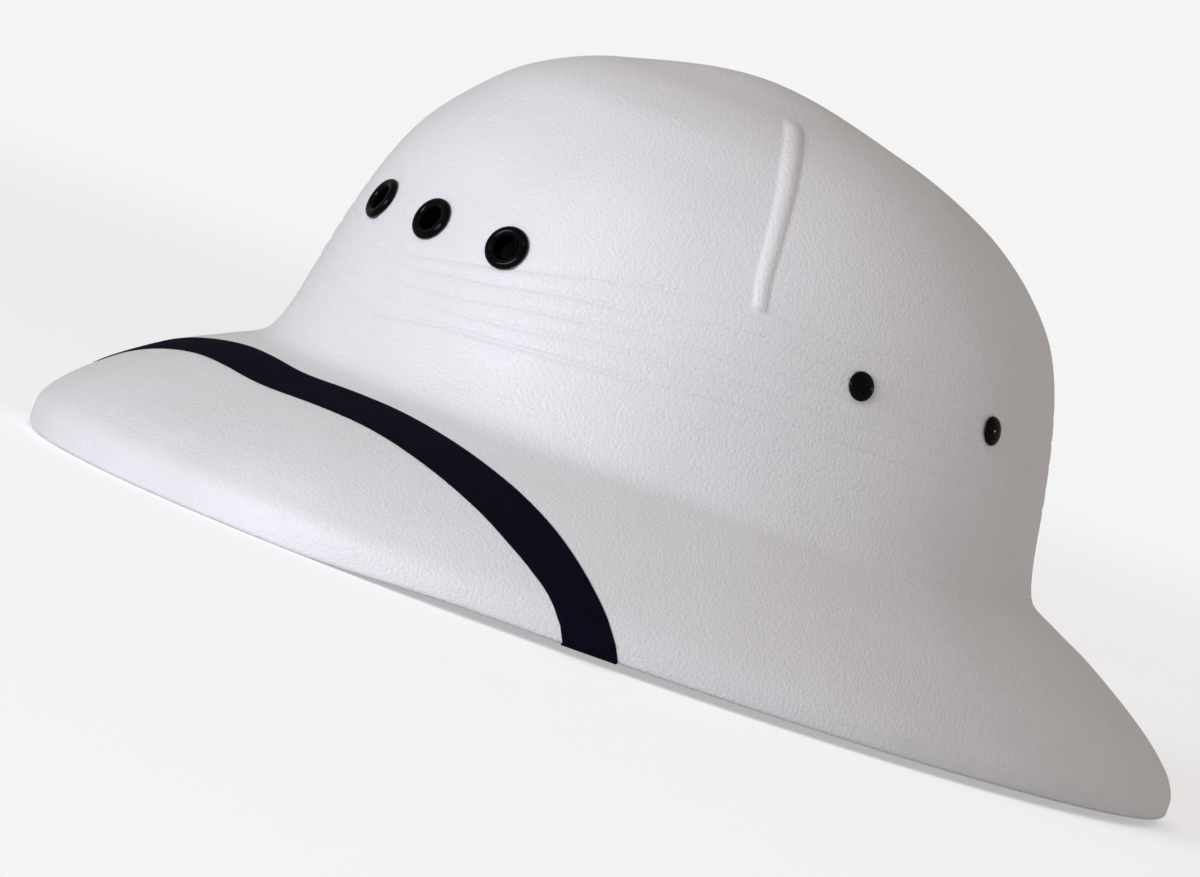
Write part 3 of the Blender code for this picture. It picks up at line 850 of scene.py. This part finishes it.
@dataclass
class MouldedShell:
    """Crown and brim in one hollow moulding.

    The mesh is one closed grid: up the outside from the brim's edge to the top, and up the
    inside, with the rounded edge of the brim between them.
    """

    surface: HelmetSurface
    folds: PuggareeFolds
    rib: CrownRib
    rim_turns: int = 9              # points round the edge of the brim
    before_rib: int = 42            # columns from the front to the rib
    across_rib: int = 15
    after_rib: int = 80             # and from the rib to the rear
    least_radius: float = 0.0245    # for the rib's columns near the top, where they would spread
    row_pitch: float = 0.0018       # between rows on the plain outside
    fold_pitch: float = 0.00034     # and across the folds
    inner_pitch: float = 0.0036     # and on the inside
    band: tuple[float, float] = (0.0535, 0.0935)    # heights between which the folds lie
    top_gap: float = 0.0016         # from the last row to the top
    unevenness: float = 0.00010     # of the moulding, over a hand's width
    # its share, waves round the helmet, their climb and standing waves up the profile (radians
    # per metre), and the phase of these
    uneven_waves: tuple[tuple[float, float, float, float, float], ...] = (
        (0.50, 3.0, 40.0, 55.0, 0.8), (0.25, 8.0, -70.0, 90.0, 0.0),
    )
    even_edge: tuple[float, float] = (0.012, 0.030)     # up the profile, where it sets in
    even_top: float = 0.030         # below the top, where it dies out
    brim_line: float = 0.0122       # height of a faint groove round the front of the brim
    brim_line_depth: float = 0.00026
    brim_line_width: float = 0.0016
    brim_line_fade: tuple[float, float] = (25.0, 50.0)  # degrees from the front
    hole_radius: float = 0.0040
    hole_sides: int = 48
    hole_depth: float = 0.015

    def ends(self) -> tuple[float, float]:
        """Distances up the profile of the lowest row and of the last one below the top."""
        start = float(self.surface.distance_at(np.array(0.5 * self.surface.wall)))
        return start, self.surface.length() - self.top_gap

    def outer_rows(self) -> Array:
        """The rows of the outside, close together across the folds.

        Returns:
            Distances up the profile, from the edge to the top.
        """
        start, end = self.ends()
        low, high = self.surface.distance_at(np.array(self.band))
        spans = ((start, low, self.row_pitch), (low, high, self.fold_pitch),
                 (high, end, self.row_pitch))
        rows = [np.linspace(a, b, round((b - a) / pitch) + 1)[:-1] for a, b, pitch in spans]
        return np.concatenate([*rows, [end]])

    def inner_rows(self) -> Array:
        """Distances up the profile of the rows of the inside, evenly spaced."""
        start, end = self.ends()
        return np.linspace(start, end, round((end - start) / self.inner_pitch) + 1)

    def columns(self, distance: Array) -> Array:
        """Angles of the columns in each row.

        They are even from the front to the rib, close together across it, and even from there
        to the rear. The wearer's right half mirrors the left one.

        Args:
            distance: Metres up the profile of each row.

        Returns:
            Degrees, one row for each distance.
        """
        height, radius = self.surface.level(distance)
        width = self.rib.band * self.rib.width
        half = np.degrees(0.5 * width / np.maximum(radius, self.least_radius))[:, None]
        middle = self.rib.middle(height)[:, None]
        before = np.linspace(0.0, 1.0, self.before_rib, endpoint=False) * (middle - half)
        across = middle + half * np.linspace(-1.0, 1.0, self.across_rib)
        share = np.linspace(0.0, 1.0, self.after_rib + 1)[1:]
        after = middle + half + share * (180.0 - middle - half)
        left = np.concatenate([before, across, after], axis=1)
        return np.concatenate([left, -left[:, -2:0:-1]], axis=1)

    def relief(self, angle: Array, distance: Array) -> Array:
        """Folds, ribs, the brim's groove and the moulding's own slight unevenness.

        The groove is a bell curve of the height. The unevenness is a sum of sine waves that
        turn round the helmet as they climb, each times a standing sine wave up the profile.

        Args:
            angle: Degrees round the helmet.
            distance: Metres up the profile, in the same shape.

        Returns:
            How far each point is raised.
        """
        height, radius = self.surface.level(distance)
        turn = np.radians(angle)
        uneven = sum(share * np.sin(waves * turn + climb * distance)
                     * np.sin(standing * distance + phase)
                     for share, waves, climb, standing, phase in self.uneven_waves)
        length = self.surface.length()
        settled = (smooth_step(distance, *self.even_edge)
                   * (1.0 - smooth_step(distance, length - self.even_top, length)))
        groove = np.exp(-((height - self.brim_line) / self.brim_line_width) ** 2)
        groove *= 1.0 - smooth_step(from_front(angle), *self.brim_line_fade)
        return (self.folds.relief(angle, height) + self.rib.relief(angle, height, radius)
                + self.unevenness * uneven * settled - self.brim_line_depth * groove)

    def grid(self, rows: Array) -> tuple[Array, Array]:
        """The grid of a face, raised to follow the arch of the edge, which dies out up the lip.

        Args:
            rows: Metres up the profile of each row.

        Returns:
            The angle and the distance up the profile of every point.
        """
        angle = self.columns(rows)
        lip, lowest = self.surface.lip_height, 0.5 * self.surface.wall
        share = np.clip((lip - rows) / (lip - lowest), 0.0, 1.0)[:, None]
        return angle, rows[:, None] + self.surface.edge_rise(angle) * share

    def rim(self, angle: Array) -> Array:
        """The edge of the brim: a half circle from the outer face round to the inner one.

        Args:
            angle: Degrees of each column.

        Returns:
            The points, one row for each place on the half circle.
        """
        radius = 0.5 * self.surface.wall
        start = self.surface.edge_rise(angle) + radius
        outward = self.surface.normals(angle, start)
        centre = self.surface.points(angle, start) - outward * radius
        turns = np.linspace(0.0, np.pi, self.rim_turns + 2)[1:-1, None, None]
        down = np.array([0.0, 0.0, -1.0])
        return centre + radius * (np.cos(turns) * outward + np.sin(turns) * down)

    def mesh(self) -> tuple[bpy.types.Mesh, int]:
        """The closed mesh, before the holes are drilled.

        Returns:
            The mesh, and how many of its first faces lie on the outside.
        """
        outer, inner = self.outer_rows(), self.inner_rows()
        angle, distance = self.grid(outer)
        outside = self.surface.raised(angle, distance, self.relief(angle, distance))
        inside = self.surface.raised(*self.grid(inner), -self.surface.wall)
        rows = np.concatenate([outside[::-1], self.rim(angle[0]), inside])
        height, _, _, centre = self.surface.sections[-1]
        poles = np.array([[0.0, centre, height], [0.0, centre, height - self.surface.wall]])
        points = np.concatenate([rows.reshape(-1, 3), poles])
        columns, count = angle.shape[1], len(points)
        faces = [
            grid_faces(len(rows), columns)[:, ::-1],
            fan_faces(0, columns, count - 2, False),
            fan_faces((len(rows) - 1) * columns, columns, count - 1, True),
        ]
        outside_faces = (len(outer) + self.rim_turns // 2) * columns
        return mesh_from("moulded_shell", points, faces), outside_faces

    def drill(self, piece: bpy.types.Object, places: list[Matrix]) -> None:
        """Cuts the eyelets' round holes through the wall, and applies the cuts.

        Args:
            piece: The shell.
            places: A frame on the surface for each hole.
        """
        ends = np.array([-0.5, 0.5]) * self.hole_depth
        rings = turned_rows(np.full(2, self.hole_radius), ends, self.hole_sides)
        faces = [grid_faces(2, self.hole_sides), np.arange(self.hole_sides)[None, ::-1],
                 np.arange(self.hole_sides, 2 * self.hole_sides)[None]]
        drills = []
        for place in places:
            mesh = mesh_from("drill", rings.reshape(-1, 3), faces)
            mesh.transform(place)
            drills.append(new_object(mesh.name, mesh))
            cut = piece.modifiers.new(mesh.name, "BOOLEAN")
            cut.operation, cut.solver, cut.object = "DIFFERENCE", "EXACT", drills[-1]
        bpy.context.view_layer.update()
        graph = bpy.context.evaluated_depsgraph_get()
        drilled = bpy.data.meshes.new_from_object(piece.evaluated_get(graph))
        piece.modifiers.clear()
        piece.data = drilled
        drilled.name = piece.name
        for drill in drills:
            bpy.data.objects.remove(drill)

    def build(self, holes: list[Matrix]) -> bpy.types.Object:
        """Builds the dressed shell, grained outside and smoother inside, where a warmer, darker
        white paints the shade.

        Args:
            holes: A frame on the surface for each eyelet's hole.

        Returns:
            The piece, in place of its CAD node.
        """
        mesh, outside_faces = self.mesh()
        outer = MouldedPolyethylene("white_moulded_polyethylene", "#ECECEE", "#E1E0E1")
        # painted shade: the inner face's warmer, darker whites stand in for the warm shade inside
        # the crown
        inner = MouldedPolyethylene("white_polyethylene_inner_face_painted_shade", "#E6E3DE", "#DBD7D0",
                                    grain_depth=0.00006, roughness=0.5)
        for finish in (outer, inner):
            mesh.materials.append(finish.build())
        count = len(mesh.polygons)
        columns = 2 * (self.before_rib + self.across_rib + self.after_rib - 1)
        slots = np.zeros(count, np.int32)
        slots[outside_faces:] = 1
        slots[count - 2 * columns:count - columns] = 0      # the fan at the top of the outside
        mesh.polygons.foreach_set("material_index", slots)
        piece = add_piece(mesh, "helmet_shell")
        self.drill(piece, holes)
        return piece


# ---- turned metal ----

class TurnedKind(Enum):
    """The three kinds of small turned hardware."""

    EYELET = "vent_eyelet"
    RIVET = "domed_rivet"
    STUD = "fastening_stud"


@dataclass(frozen=True)
class TurnedPiece:
    """One eyelet, rivet or stud: a profile turned about the normal of the shell."""

    surface: HelmetSurface
    node: str
    kind: TurnedKind
    angle: float
    height: float
    sides: int = 56
    bend_points: int = 12
    eyelet_radius: float = 0.0057
    eyelet_hole: float = 0.0031
    eyelet_sleeve: float = 0.0006
    eyelet_roll: float = 0.0012
    washer_radius: float = 0.0048
    washer: float = 0.0008
    rivet_radius: float = 0.0037
    rivet_dome: float = 0.0014
    rivet_shank: float = 0.0017
    rivet_tail_radius: float = 0.0030
    rivet_tail: float = 0.0010
    strap: float = 0.0010           # thickness of the strap under the stud's head
    stud_radius: float = 0.0042
    stud_head: float = 0.0012
    stud_shank: float = 0.0018
    break_edge: float = 0.00022     # rounding of the stamped edges

    def rounded(self, corners: Outline) -> Outline:
        """Stamped corners, each cut into three points on a parabola that rounds it off.

        Args:
            corners: The corners, with one more point at either end.

        Returns:
            The three points of each corner.
        """
        made = []
        for before, here, after in zip(corners, corners[1:], corners[2:]):
            a, b, c = np.array(before), np.array(here), np.array(after)
            into = a + (b - a) * (1.0 - self.break_edge / np.linalg.norm(b - a))
            out = b + (c - b) * self.break_edge / np.linalg.norm(c - b)
            made += [tuple(into), tuple(0.25 * into + 0.5 * b + 0.25 * out), tuple(out)]
        return made

    def eyelet(self) -> Outline:
        """A rolled flange outside, a sleeve through the wall and a washer inside.

        Returns:
            The corners, as a ring.
        """
        top, inside = self.surface.gap, self.surface.inner_seat()
        sleeve = self.eyelet_hole + self.eyelet_sleeve
        middle = 0.5 * (self.eyelet_radius + self.eyelet_hole)
        half = 0.5 * (self.eyelet_radius - self.eyelet_hole)
        turns = np.linspace(0.0, np.pi, self.bend_points)
        roll = list(zip(middle - half * np.cos(turns), top + self.eyelet_roll * np.sin(turns)))
        return roll + self.rounded([
            (self.eyelet_radius, top), (sleeve, top), (sleeve, inside),
            (self.washer_radius, inside), (self.washer_radius, inside - self.washer),
            (self.eyelet_hole, inside - self.washer), (self.eyelet_hole, top),
        ])

    def rivet(self) -> Outline:
        """A shallow dome outside, the shank and a flat tail inside.

        Returns:
            The corners, from pole to pole.
        """
        top, inside = self.surface.gap, self.surface.inner_seat()
        turns = np.linspace(0.0, 0.5 * np.pi, self.bend_points)
        dome = zip(self.rivet_radius * np.sin(turns), top + self.rivet_dome * np.cos(turns))
        end = (0.0, inside - self.rivet_tail)
        return [*dome, *self.rounded([
            (self.rivet_radius, top), (self.rivet_shank, top), (self.rivet_shank, inside),
            (self.rivet_tail_radius, inside), (self.rivet_tail_radius, end[1]), end,
        ]), end]

    def stud(self) -> Outline:
        """A shank on the inner wall and a flat head over the strap.

        Returns:
            The corners, from pole to pole.
        """
        inside = self.surface.inner_seat()
        under = inside - self.strap - self.surface.inner_gap
        end = (0.0, under - self.stud_head)
        return [(0.0, inside), (self.stud_shank, inside), *self.rounded([
            (self.stud_shank, inside), (self.stud_shank, under), (self.stud_radius, under),
            (self.stud_radius, end[1]), end,
        ]), end]

    def mesh(self) -> bpy.types.Mesh:
        """The profile turned about the normal, closed as a ring or by its two poles.

        Returns:
            The mesh, in its place on the helmet.
        """
        profiles = {TurnedKind.EYELET: self.eyelet, TurnedKind.RIVET: self.rivet,
                    TurnedKind.STUD: self.stud}
        corners = np.array(profiles[self.kind]())
        ring = self.kind is TurnedKind.EYELET
        rows = turned_rows(*(corners if ring else corners[1:-1]).T, self.sides)
        points = rows.reshape(-1, 3)
        if ring:
            faces = [grid_faces(len(rows) + 1, self.sides)[:, ::-1] % len(points)]
        else:
            count = len(points)
            faces = [grid_faces(len(rows), self.sides)[:, ::-1],
                     fan_faces(0, self.sides, count, False),
                     fan_faces(count - self.sides, self.sides, count + 1, True)]
            points = np.concatenate([points, [[0.0, 0.0, corners[0, 1]],
                                              [0.0, 0.0, corners[-1, 1]]]])
        side = self.node.removeprefix("strap_").split("_", 1)[1]
        mesh = mesh_from(f"{self.kind.value}_{side}", points, faces)
        mesh.transform(self.surface.frame(self.angle, self.height))
        return mesh

    def build(self, enamel: bpy.types.Material) -> bpy.types.Object:
        """Builds the dressed piece.

        Args:
            enamel: Its finish.

        Returns:
            The piece, in place of its CAD node.
        """
        mesh = self.mesh()
        mesh.materials.append(enamel)
        return add_piece(mesh, self.node)


# ---- chin strap ----

@dataclass
class ChinStrap:
    """Flat ribbed elastic over the front of the brim, round its edge and up inside the crown.

    A ribbon of rows follows the strap's route on the surface. Each row holds the points across
    the face that lies on the helmet; the thickness is then added along the ribbon's normal.
    """

    surface: HelmetSurface
    uv_name: str = "along_and_across"
    width: float = 0.0136
    lip_width: float = 0.0137       # along the brim's edge, which it crosses at a slant
    thickness: float = 0.0010
    corner: float = 0.0006          # radius of the corners of the edge that it turns round
    outer_turns: int = 10           # rows round the outer corner
    inner_turns: int = 6            # and round the inner one
    last_turn: float = 132.0        # degrees through which it has turned when it leaves the edge
    lip_angle: float = 52.0
    lip_height: float = 0.0020
    squares_up: float = 0.64        # share of the way over the brim where it starts to turn
    over_rows: int = 400            # rows over the brim, before they are spaced evenly
    inside_rows: int = 60           # and inside the crown
    row_pitch: float = 0.00021
    rib_pitch: float = 0.00085
    rib_depth: float = 0.00015
    selvedge: tuple[float, float] = (0.0003, 0.0010)    # from the edge, where the ribs set in
    across: int = 13
    edge_points: int = 3
    bulge: float = 0.02             # of the edges, as a share of half the width
    nearby: float = 0.01            # share of the way either side, for the route's direction
    averaged: float = 0.035         # share of the way either side that a point is averaged over
    average_points: int = 11
    average_end: float = 0.1        # weight of the two end points; the middle one has 1 more
    settles: float = 0.15           # share before the edge where that fades to nothing
    # angle and height of the strap's middle over the brim, from the front to the edge
    route: tuple[tuple[float, float], ...] = (
        (0.0, 0.0345), (10.0, 0.0350), (17.0, 0.0348), (22.0, 0.0340), (28.0, 0.0322),
        (33.5, 0.0296), (38.5, 0.0263), (43.0, 0.0219), (47.0, 0.0163), (49.8, 0.0108),
        (51.3, 0.0060),
    )
    # and inside the crown, from its foot to the strap's end
    inside: tuple[tuple[float, float], ...] = (
        (53.0, 0.0420), (53.1, 0.0438), (53.2, 0.0465), (53.3, 0.0500), (53.5, 0.0560),
        (53.5, 0.0620),
    )

    def shares(self) -> Array:
        """Places across the strap, -1 at its outer edge and 1 at its inner one."""
        return np.linspace(-1.0, 1.0, self.across)

    def route_at(self, share: Array) -> tuple[Array, Array]:
        """The strap's middle over the brim, on a cubic curve through its route.

        Each point is an average of points either side of it, so the strap has no corners.

        Args:
            share: Share of the way from the front to the edge.

        Returns:
            The angle, and the distance up the profile.
        """
        rows = np.array(self.route)
        distance = run_along(self.surface.points(rows[:, 0], self.surface.distance_at(rows[:, 1])))
        distance /= distance[-1]
        slopes = np.gradient(rows, distance, axis=0)
        slopes[0, 1] = 0.0
        offsets = np.linspace(-1.0, 1.0, self.average_points)
        reach = self.averaged * np.clip((1.0 - share) / self.settles, 0.0, 1.0)
        at = share[:, None] + reach[:, None] * offsets
        near = cubic_between(rows, slopes, distance, np.minimum(np.abs(at), 1.0).ravel())
        near = near.reshape(*at.shape, 2)
        near[..., 0] *= np.where(at < 0.0, -1.0, 1.0)
        weights = 1.0 + self.average_end - offsets ** 2
        angle, height = np.average(near, axis=1, weights=weights).T
        return angle, self.surface.distance_at(height)

    def over_brim(self) -> Array:
        """Rows over the brim, square to the route until it nears the edge.

        A step across the strap becomes steps of angle and of distance up the profile, by the
        two equations of the surface's directions there.

        Returns:
            The points, one row for each place along.
        """
        share = np.linspace(0.0, 1.0, self.over_rows)
        angle, distance = self.route_at(share)
        before = self.surface.points(*self.route_at(np.maximum(share - self.nearby, 0.0)))
        after = self.surface.points(*self.route_at(np.minimum(share + self.nearby, 1.0)))
        route = unit(after - before)
        route[0] = (1.0, 0.0, 0.0)
        round_, up = self.surface.directions(angle, distance)
        turned = smooth_step(share, self.squares_up, 1.0)[:, None]
        square = unit(np.cross(self.surface.normals(angle, distance), route))
        across = unit(square * (1.0 - turned) + unit(round_) * turned)
        half = 0.5 * (self.width + (self.lip_width - self.width) * turned)
        g11, g12, g22 = (round_ * round_).sum(1), (round_ * up).sum(1), (up * up).sum(1)
        b1, b2 = (round_ * across).sum(1), (up * across).sum(1)
        scale = g11 * g22 - g12 ** 2
        reach = half * self.shares()
        at_angle = angle[:, None] + ((g22 * b1 - g12 * b2) / scale)[:, None] * reach
        at_distance = distance[:, None] + ((g11 * b2 - g12 * b1) / scale)[:, None] * reach
        return self.surface.raised(at_angle, np.maximum(at_distance, 0.0), self.surface.gap)

    def round_edge(self) -> Array:
        """Rows round the outer and the inner corner of the brim's edge, each a part circle.

        Returns:
            The points, one row for each place along.
        """
        surface = self.surface
        turns = np.radians(np.concatenate([np.linspace(0.0, 90.0, self.outer_turns),
                                           np.linspace(90.0, self.last_turn, self.inner_turns)]))
        centre = np.repeat([-self.corner, self.corner + surface.inner_seat()],
                           [self.outer_turns, self.inner_turns])
        radius = self.corner + surface.gap
        at = np.array(self.lip_angle), np.array(self.lip_height)
        round_ = np.linalg.norm(surface.directions(*at)[0])
        angle = self.lip_angle + self.shares() * 0.5 * self.lip_width / round_
        distance = np.full(self.across, self.lip_height)
        out = (centre + radius * np.cos(turns))[:, None, None]
        up = (self.corner - radius * np.sin(turns))[:, None, None]
        return (surface.points(angle, distance) + surface.normals(angle, distance) * out
                + np.array([0.0, 0.0, 1.0]) * up)

    def inside_crown(self) -> Array:
        """Rows on the crown's inner wall, up to the strap's end.

        Returns:
            The points, one row for each place along.
        """
        angle, height = np.array(self.inside).T
        at = np.linspace(height[0], height[-1], self.inside_rows)
        middle = np.interp(at, height, angle)
        distance = self.surface.distance_at(at)
        round_ = np.linalg.norm(self.surface.directions(middle, distance)[0], axis=1)
        spread = self.shares() * 0.5 * self.width / round_[:, None]
        return self.surface.raised(middle[:, None] + spread, distance[:, None] + 0.0 * spread,
                                   self.surface.inner_seat())

    def ribbon(self) -> tuple[Array, Array]:
        """The whole strap as evenly spaced rows, the right half a mirror of the left one.

        Returns:
            The rows, and the distance of each along the strap from its middle.
        """
        half = np.concatenate([self.over_brim(), self.round_edge()[1:], self.inside_crown()])
        length = run_along(half[:, self.across // 2])
        at = np.linspace(0.0, length[-1], round(length[-1] / self.row_pitch) + 1)
        i = np.clip(np.searchsorted(length, at, side="right") - 1, 0, len(length) - 2)
        t = ((at - length[i]) / (length[i + 1] - length[i]))[:, None, None]
        left = half[i] * (1.0 - t) + half[i + 1] * t
        right = left[:0:-1] * np.array([-1.0, 1.0, 1.0])
        return np.concatenate([right, left]), np.concatenate([-at[:0:-1], at])

    def section(self) -> tuple[Array, Array, Array]:
        """The closed section: two flat faces, and half ellipses at the edges between them.

        The ribs die out towards the plain selvedges.

        Returns:
            For each point its place across, its share of the thickness, and its share of the
            rib relief.
        """
        across = self.shares()
        turns = np.linspace(0.0, np.pi, self.edge_points + 2)[1:-1]
        bulge = self.bulge * np.sin(turns)
        place = np.concatenate([across, 1.0 + bulge, across[::-1], -1.0 - bulge])
        depth = np.concatenate([np.ones(self.across), 0.5 + 0.5 * np.cos(turns),
                                np.zeros(self.across), 0.5 - 0.5 * np.cos(turns)])
        inset = (1.0 - np.abs(place)) * 0.5 * self.width
        return place, depth, smooth_step(inset, *self.selvedge) * (2.0 * depth - 1.0)

    def mesh(self) -> bpy.types.Mesh:
        """The ribbon given its thickness, its ribs and its soft edges.

        A point is the ribbon's point at its place across, moved along the normal by its share
        of the thickness and by the rib relief, which is |cos| of the distance along.

        Returns:
            The closed mesh, with metres along and across the strap in its UV map.
        """
        rows, along = self.ribbon()
        step_across = np.gradient(rows, axis=1)
        normal = unit(np.cross(step_across, np.gradient(rows, axis=0)))
        place, depth, ribs = self.section()
        spread = (np.clip(place, -1.0, 1.0) + 1.0) * 0.5 * (self.across - 1)
        j = np.clip(spread.astype(int), 0, self.across - 2)
        t = (spread - j)[None, :, None]
        base = rows[:, j] * (1.0 - t) + rows[:, j + 1] * t
        out = unit(normal[:, j] * (1.0 - t) + normal[:, j + 1] * t)
        beyond = (place - np.clip(place, -1.0, 1.0)) * 0.5 * self.width
        crest = np.abs(np.cos(np.pi * along / self.rib_pitch))[:, None]
        lift = depth * self.thickness - ribs * self.rib_depth * (1.0 - crest)
        points = base + out * lift[..., None] + unit(step_across)[:, j] * beyond[None, :, None]
        ring, count = len(place), points.shape[0] * len(place)
        caps = [np.arange(ring)[None, ::-1], np.arange(count - ring, count)[None]]
        mesh = mesh_from("elastic_chin_strap", points.reshape(-1, 3),
                         [grid_faces(len(points), ring), *caps])
        uv = np.stack(np.broadcast_arrays(along[:, None], place * 0.5 * self.width), axis=-1)
        loops = np.zeros(len(mesh.loops), np.int32)
        mesh.loops.foreach_get("vertex_index", loops)
        layer = mesh.uv_layers.new(name=self.uv_name)
        layer.data.foreach_set("uv", uv.reshape(-1, 2)[loops].astype(np.float32).ravel())
        return mesh

    def build(self) -> bpy.types.Object:
        """Builds the dressed strap.

        Returns:
            The piece, in place of its CAD node.
        """
        mesh = self.mesh()
        mesh.materials.append(RibbedElastic(self.uv_name, self.rib_pitch).build())
        return add_piece(mesh, "chin_strap")


# ---- studio ----

@dataclass(frozen=True)
class SoftLight:
    """A soft box that faces the helmet."""

    name: str
    azimuth: float                  # degrees, 0 in front of the helmet
    elevation: float
    distance: float
    width: float
    height: float
    power: float
    colour: str = "#FFFFFF"

    def build(self, target: Vector) -> None:
        """Adds the light.

        Args:
            target: The point that it faces.
        """
        back = Vector(towards(self.azimuth, self.elevation))
        data = bpy.data.lights.new(self.name, "AREA")
        data.shape, data.size, data.size_y = "RECTANGLE", self.width, self.height
        data.energy = self.power
        data.color = linear(self.colour)[:3]
        light = new_object(self.name, data)
        light.location = target + back * self.distance
        light.rotation_euler = back.to_track_quat("Z", "Y").to_euler()
        light.visible_camera = False


@dataclass(frozen=True)
class Studio:
    """A pale paper floor that fades into a pale room, soft lights and the camera."""

    paper: PalePaper = PalePaper()
    room: str = "#F4F4F5"           # where the camera sees it
    fill: str = "#FFF5ED"           # what it sends to the helmet
    fill_strength: float = 0.37
    floor_radius: float = 3.0
    floor_sides: int = 96
    azimuth: float = 47.0           # of the camera, in degrees, as its elevation and roll
    elevation: float = 2.5
    roll: float = 20.2
    distance: float = 1.8
    sensor: float = 36.0            # millimetres, as the lens
    nearest: float = 0.05
    farthest: float = 50.0
    filled: float = 0.95            # share of the picture that the helmet fills
    aim_rounds: int = 3             # each brings the helmet nearer to the middle
    target: tuple[float, float, float] = (0.0, 0.0, 0.06)
    # name, azimuth, elevation, distance, width, height, power and colour
    lights: tuple[SoftLight, ...] = (
        SoftLight("key_light", 7.0, 9.5, 5.0, 2.8, 1.5, 168.0, "#F0F3FF"),
        SoftLight("front_glint", 15.0, 42.0, 2.5, 0.12, 0.12, 2.0),
        SoftLight("rear_glint", 150.0, 14.0, 2.5, 0.12, 0.12, 2.0),
    )

    def floor(self) -> None:
        """Lays a round sheet of paper: a fan of triangles from a circle to its middle."""
        rim = turned_rows(np.array([self.floor_radius]), np.zeros(1), self.floor_sides)[0]
        mesh = mesh_from("paper_floor", np.concatenate([rim, [[0.0, 0.0, 0.0]]]),
                         [fan_faces(0, self.floor_sides, self.floor_sides, False)])
        mesh.materials.append(self.paper.build())
        new_object("paper_floor", mesh)

    def room_light(self) -> None:
        """Sets up a pale room: bright where the camera sees it, a softer fill on the helmet."""
        world = bpy.data.worlds.new("pale_room")
        world.use_nodes = True
        tree = world.node_tree
        fill = tree.nodes["Background"]
        set_inputs(fill, None, {"Color": linear(self.fill), "Strength": self.fill_strength})
        room = add_node(tree, "ShaderNodeBackground", None, {"Color": linear(self.room)})
        seen = add_node(tree, "ShaderNodeLightPath").outputs["Is Camera Ray"]
        mix = add_node(tree, "ShaderNodeMixShader", {0: seen, 1: fill, 2: room})
        set_inputs(tree.nodes["World Output"], {"Surface": mix}, None)
        bpy.context.scene.world = world

    def camera(self, corners: Array) -> None:
        """Sets up the camera at the photo's direction and roll, with the helmet centred.

        Each round of aiming moves the middle by half the difference of the helmet's margins.

        Args:
            corners: Points of the helmet that have to be in the picture.
        """
        roll = math.radians(self.roll)
        back, level = towards(self.azimuth, self.elevation), towards(self.azimuth + 90.0, 0.0)
        upright = np.cross(back, level)
        right = math.cos(roll) * level + math.sin(roll) * upright
        up = math.cos(roll) * upright - math.sin(roll) * level
        middle = np.array(self.target)
        for _ in range(self.aim_rounds):
            offset = corners - middle
            depth = self.distance - offset @ back
            across = offset @ right / depth
            above = offset @ up / depth
            shift = 0.5 * (across.max() + across.min()) * right
            middle = middle + (shift + 0.5 * (above.max() + above.min()) * up) * self.distance
        wide = np.ptp(across)
        tall = np.ptp(above) * PHOTO_WIDTH / PHOTO_HEIGHT
        data = bpy.data.cameras.new("camera")
        data.sensor_width = self.sensor
        data.sensor_fit = "HORIZONTAL"
        data.lens = self.sensor * self.filled / max(wide, tall)
        data.clip_start, data.clip_end = self.nearest, self.farthest
        camera = new_object("camera", data)
        turned = Matrix(np.column_stack([right, up, back]).tolist()).to_4x4()
        camera.matrix_world = Matrix.Translation(Vector(middle + back * self.distance)) @ turned
        bpy.context.scene.camera = camera

    def build(self, corners: Array) -> None:
        """Sets up the whole studio.

        Args:
            corners: Points of the helmet that have to be in the picture.
        """
        self.floor()
        self.room_light()
        for light in self.lights:
            light.build(Vector(self.target))
        self.camera(corners)
        bpy.context.scene.view_settings.view_transform = "Standard"


def hardware(surface: HelmetSurface) -> list[TurnedPiece]:
    """The eyelets, rivets and studs, at the places of their CAD nodes.

    Args:
        surface: The surface that they sit on.

    Returns:
        The nine pieces, not yet built.
    """
    # kind, height on the helmet, and the angle of each node
    kinds = (
        (TurnedKind.EYELET, 0.0827, {"eyelet_front_right": -16.7, "eyelet_front_centre": 0.0,
                                     "eyelet_front_left": 16.7}),
        (TurnedKind.RIVET, 0.0808, {"rivet_left_front": 76.0, "rivet_left_rear": 104.0,
                                    "rivet_right_front": -76.0, "rivet_right_rear": -104.0}),
        (TurnedKind.STUD, 0.0560, {"strap_stud_left": 53.5, "strap_stud_right": -53.5}),
    )
    return [TurnedPiece(surface, node, kind, angle, height)
            for kind, height, places in kinds for node, angle in places.items()]


def main() -> None:
    """Loads the frame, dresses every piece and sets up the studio."""
    logging.basicConfig(level=logging.INFO, format="%(name)s: %(message)s")
    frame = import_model()
    surface = HelmetSurface()
    turned = hardware(surface)
    holes = [surface.frame(piece.angle, piece.height) for piece in turned
             if piece.kind is TurnedKind.EYELET]
    pieces = [MouldedShell(surface, PuggareeFolds(), CrownRib()).build(holes),
              ChinStrap(surface).build()]
    enamel = BlackEnamel().build()
    pieces += [piece.build(enamel) for piece in turned]
    for piece in pieces:
        LOG.info("%s: %d faces", piece.name, len(piece.data.polygons))
    shell = frame["nodes"]["helmet_shell"].data
    corners = np.zeros(len(shell.vertices) * 3, np.float32)
    shell.vertices.foreach_get("co", corners)
    Studio().build(corners.reshape(-1, 3).astype(float))


if __name__ == "__main__":
    main()
